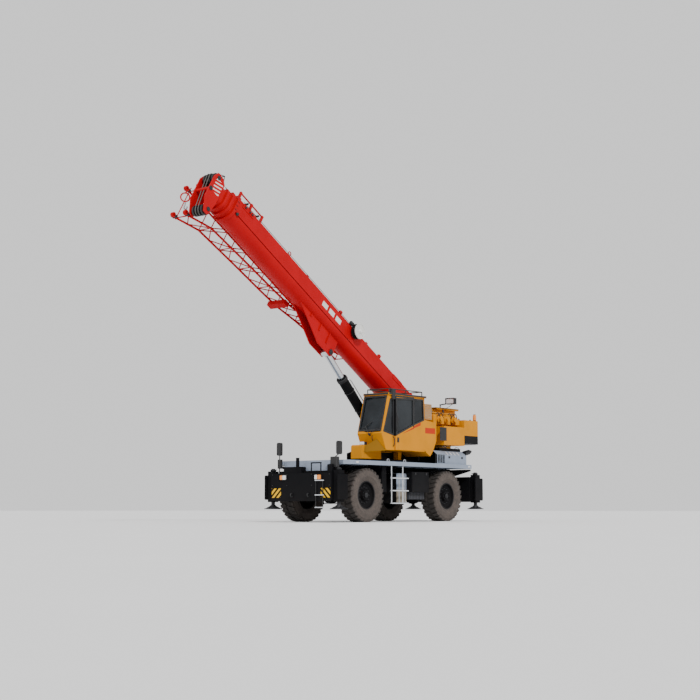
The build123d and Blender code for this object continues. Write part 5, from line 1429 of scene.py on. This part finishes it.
@dataclass
class UpperTrim:
    """Winch machinery, rails, hoses and cooler mesh on the superstructure."""

    def build(self, bench: Bench) -> None:
        """Make everything on the turntable and counterweight."""
        self.mesh(bench)
        self.crown(bench)
        self.machinery(bench)
        self.hoses(bench)
        self.weight(bench)
        self.pins(bench)

    def mesh(self, bench: Bench) -> None:
        """Wire guard over the cooler."""
        y = 1.204
        bars = []
        for x in (-1.32 + 0.035 * index for index in range(11)):
            bars.append(bench.rod(spot(x, y, 3.03), spot(x, y, 3.48), 0.006, 6))
        for z in (3.04 + 0.048 * index for index in range(10)):
            bars.append(bench.rod(spot(-1.33, y, z), spot(-0.96, y, z), 0.006, 6))
        bench.finish(bars, "cooler_guard", "superstructure", "mesh")

    def crown(self, bench: Bench) -> None:
        """Brown-yellow plate on the winch crown and the plate ahead of the nose box; their darker yellow is
        painted shade.
        """
        outline = spots((1.235, 1.06, 2.37), (1.075, 1.262, 2.03), (1.5, 0.806, 1.98), (1.46, 0.806, 2.16))
        parts = [
            bench.block(spot(-3.82, -0.53, 3.478), spot(-2.54, 0.53, 3.512), 0.006),
            bench.plate(outline, Vector((0.006, 0.004, 0.0)), 0.001),
        ]
        bench.finish(parts, "crown_plate", "superstructure", "shaded_yellow")

    def machinery(self, bench: Bench) -> None:
        """Valve blocks, pipes and the dark side panel beside the winches."""
        top = 2.93
        yellow = [
            bench.block(spot(x0, y0, top), spot(x1, y1, z1), 0.012)
            for x0, x1, y0, y1, z1 in (
                (-1.76, -1.58, 0.78, 1.1, 3.22), (-2.1, -1.9, 0.82, 1.14, 3.12),
                (-2.5, -2.28, 0.72, 1.1, 3.24), (-2.88, -2.66, 0.82, 1.18, 3.12),
            )
        ]
        for y, z in ((0.9, 3.28), (1.02, 3.17)):
            yellow.append(bench.rod(spot(-1.5, y, z), spot(-2.93, y, z), 0.028, 10))
        steps = ((0.0, 0.09), (0.04, 0.09), (0.05, 0.06), (0.11, 0.055), (0.115, 0.075), (0.14, 0.075))
        yellow += [bench.lathe(steps, spot(x, 1.1, 3.08), LEFT, 18) for x in (-1.83, -2.2, -2.58)]
        bench.finish(yellow, "valve_blocks", "superstructure", "yellow")
        dark = [
            bench.block(spot(-1.98, 1.298, 2.42), spot(-1.62, 1.306, 2.82), 0.003),
            bench.rod(spot(-1.68, 0.94, 3.2), spot(-1.68, 0.94, 3.38), 0.035, 12),
            bench.rod(spot(-2.39, 0.9, 3.24), spot(-2.39, 0.9, 3.4), 0.03, 12),
        ]
        for x in (-1.66, -1.84, -2.3, -2.46, -2.6):
            path = spots((x, 1.0, 3.1), (x - 0.06, 1.12, 3.3), (x - 0.18, 1.16, 3.22), (x - 0.26, 1.1, 2.94))
            dark.append(bench.pipe(path, 0.014))
        bench.finish(dark, "valve_hoses", "superstructure", "hose")

    def hoses(self, bench: Bench) -> None:
        """Hoses between the winch motors, the cheeks and the swivel."""
        lines = []
        for index, y in enumerate((0.43, 0.47, 0.51)):
            lift = 0.05 * index
            lines.append(bench.pipe(spots(
                (-2.6, y, 2.98), (-2.5, y + 0.03, 3.2 + lift), (-2.2, y + 0.04, 3.3 + lift),
                (-1.95, y + 0.02, 2.9), (-1.8, y, 2.5),
            ), 0.016))
        for side in SIDES:
            lines.append(bench.pipe(spots(
                (-0.8, side * 0.3, 1.82), (-0.7, side * 0.28, 2.1), (-0.5, side * 0.22, 2.25),
                (-0.36, side * 0.12, 2.42),
            ), 0.015))
        bench.finish(lines, "winch_hoses", "superstructure", "hose")

    def weight(self, bench: Bench) -> None:
        """Lifting eyes and bolts of the counterweight."""
        parts = []
        for y in (-1.0, 1.0):
            for x in (-3.75, -3.1):
                parts.append(bench.ring(spot(x, y, 3.115), LEFT, 0.04, 0.012, 16))
        steps = ((0.0, 0.04), (0.01, 0.04), (0.012, 0.025), (0.03, 0.025))
        for y in (-1.1, -0.6, 0.6, 1.1):
            parts.append(bench.lathe(steps, spot(-3.9, y, 2.75), Vector((-1, 0, 0)), 6))
        bench.finish(parts, "weight_eyes", "superstructure", "dark")

    def pins(self, bench: Bench) -> None:
        """Caps of the boom's foot pin."""
        steps = ((0.0, 0.1), (0.014, 0.1), (0.02, 0.07), (0.034, 0.06))
        caps = [
            bench.lathe(steps, BOOM_FOOT + Vector((0, side * 0.388, 0)), Vector((0, side, 0)), 20)
            for side in SIDES
        ]
        bench.finish(caps, "boom_foot_caps", "superstructure", "dark")


@dataclass
class HoodTrim:
    """Louvre blades, latches and exhaust clamps of the engine hood."""

    rows: int = 7
    columns: int = 3

    def build(self, bench: Bench) -> None:
        """Make the hood's small parts."""
        blades: list[Part] = []
        for side in SIDES:
            x0, z0 = -1.64 - 0.047, 1.77 + 0.004
            profile = ((1.241, z0), (1.262, z0 - 0.012), (1.264, z0 - 0.008), (1.241, z0 + 0.01))
            blade = bench.plate([spot(x0, side * y, z) for y, z in profile], Vector((0.094, 0, 0)), 0.001)
            steps = [Vector((-0.13 * column, 0, 0.036 * row)) for column in range(self.columns)
                     for row in range(self.rows) if column or row]
            blades += bench.row(blade, steps)
        bench.finish(blades, "hood_louvres", "carrier", "plastic")
        parts = []
        for side in SIDES:
            for x in (-2.2, -2.9):
                parts.append(bench.flank(side, (x - 0.04, x + 0.04), (1.238, 1.256), (1.9, 1.96), 0.006))
                handle = ((x - 0.1, 2.21), (x - 0.1, 2.25), (x + 0.1, 2.25), (x + 0.1, 2.21))
                parts.append(bench.pipe([spot(px, side * 1.05, pz) for px, pz in handle], 0.01))
        parts += [bench.ring(spot(-3.17 - 0.12 * index, 0.9, 1.985), AHEAD, 0.058, 0.006, 20)
                  for index in range(2)]
        bench.finish(parts, "hood_latches", "carrier", "plastic")


@dataclass
class CarrierTrim:
    """Deck rings, lamps, tank straps, ribs, treads and drive line of the carrier."""

    def build(self, bench: Bench) -> None:
        """Make everything on the carrier."""
        self.deck(bench)
        self.boxes(bench)
        self.front(bench)
        self.driveline(bench)
        self.treads(bench)

    def deck(self, bench: Bench) -> None:
        """Lashing rings and marker lamps on the deck's edge."""
        rings = []
        lamps = []
        for side in SIDES:
            for x in (1.0, 0.19):
                rings.append(bench.ring(spot(x, side * 1.29, 1.74), LEFT, 0.05, 0.012, 18))
            for x in (2.5, -3.15):
                lamps.append(bench.flank(side, (x - 0.05, x + 0.05), (1.328, 1.35), (1.635, 1.685), 0.006))
        bench.finish(rings, "deck_rings", "carrier", "steel")
        bench.finish(lamps, "marker_lamps", "carrier", "lens")

    def boxes(self, bench: Bench) -> None:
        """Tank straps, box lids and ribs."""
        steel: list[Part] = []
        dark: list[Part] = []
        for side in SIDES:
            for x in (-0.14, 0.16):
                for y, z in (((0.6, 1.068), (1.392, 1.408)), ((1.056, 1.068), (0.55, 1.408))):
                    steel.append(bench.flank(side, (x - 0.02, x + 0.02), y, z, 0.002))
            for index in range(10):
                x = -1.02 + 0.076 * index
                dark.append(bench.rod(spot(x, side * 1.122, 0.66), spot(x, side * 1.122, 0.85), 0.01, 6))
            for x in (-0.95, -0.4):
                dark.append(bench.flank(side, (x - 0.03, x + 0.03), (1.248, 1.268), (1.36, 1.43), 0.005))
        bench.finish(steel, "tank_straps", "carrier", "steel")
        bench.finish(dark, "box_ribs", "carrier", "dark")

    def front(self, bench: Bench) -> None:
        """Lamp bezels, bolts and tow eyes on the front box."""
        face = 3.351
        parts = []
        for y in (-0.67, -0.56, 0.59, 0.70):
            corners = ((y - 0.058, 1.172), (y + 0.058, 1.172), (y + 0.058, 1.308), (y - 0.058, 1.308))
            parts.append(bench.rim([spot(face, py, pz) for py, pz in corners], Vector((0.03, 0, 0)), 0.012))
        for y in (-0.3, 0.3):
            parts.append(bench.ring(spot(3.375, y, 0.75), LEFT, 0.05, 0.016, 18))
        steps = ((0.0, 0.016), (0.01, 0.016), (0.012, 0.01), (0.018, 0.01))
        first_y, first_z = -1.03, 1.02
        stud = bench.lathe(steps, spot(face, first_y, first_z), AHEAD, 6)
        places = [(y, z) for y in (first_y, -0.5, 0.4, 1.03) for z in (first_z, 1.32)]
        parts += bench.row(stud, [Vector((0, y - first_y, z - first_z)) for y, z in places[1:]])
        parts.append(bench.block(spot(3.07, 0.93, 1.5), spot(3.21, 1.16, 1.8), 0.015))
        parts.append(bench.block(spot(3.1, -0.99, 1.5), spot(3.2, -0.87, 1.76), 0.012))
        bench.finish(parts, "front_fittings", "carrier", "plastic")

    def driveline(self, bench: Bench) -> None:
        """Propeller shafts and brake chambers."""
        half = ((0.05, 0.12), (0.28, 0.09), (0.3, 0.04), (1.6, 0.04), (1.62, 0.07), (1.66, 0.07))
        steps = tuple((-place, radius) for place, radius in reversed(half)) + half
        shaft = bench.lathe(steps, spot(0.0, 0.0, 0.752), AHEAD, 18)
        parts = [shaft, bench.block(spot(-0.16, -0.1, 0.82), spot(0.16, 0.1, 1.015), 0.01)]
        chamber = (
            (0.0, 0.05), (0.02, 0.075), (0.07, 0.078), (0.075, 0.085), (0.085, 0.085), (0.09, 0.078),
            (0.13, 0.07), (0.15, 0.04),
        )
        for x in (-1.84, 1.84):
            for side in SIDES:
                parts.append(bench.lathe(chamber, spot(x, side * 0.42, 0.78), Vector((0, side, 0)), 18))
        bench.finish(parts, "drive_line", "carrier", "dark")

    def treads(self, bench: Bench) -> None:
        """Grip studs on the ladder rungs and front step."""
        studs = []
        for side in SIDES:
            y = side * 1.297
            for z in (0.544, 0.904, 1.264):
                stud = bench.block(spot(0.1, y - 0.03, z - 0.002), spot(0.115, y + 0.03, z + 0.006), 0.002)
                studs += bench.row(stud, [Vector((0.08 * index, 0, 0)) for index in range(1, 9)])
        bench.finish(studs, "tread_studs", "carrier", "steel")


def main() -> None:
    """Build the look in order."""
    logging.basicConfig(level=logging.INFO)
    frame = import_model()
    Studio().build()
    wardrobe = Wardrobe(frame)
    wardrobe.dress()
    bench = Bench(wardrobe.stocks)
    corners = ("fl", "fr", "rl", "rr")
    trims = [WheelTrim(corner) for corner in corners] + [JackTrim(corner) for corner in corners]
    trims += [BoomTrim(), CylinderTrim(), WinchTrim("winch_main"), WinchTrim("winch_aux"), CabTrim(),
              UpperTrim(), HoodTrim(), CarrierTrim()]
    for trim in trims:
        trim.build(bench)


if __name__ == "__main__":
    main()
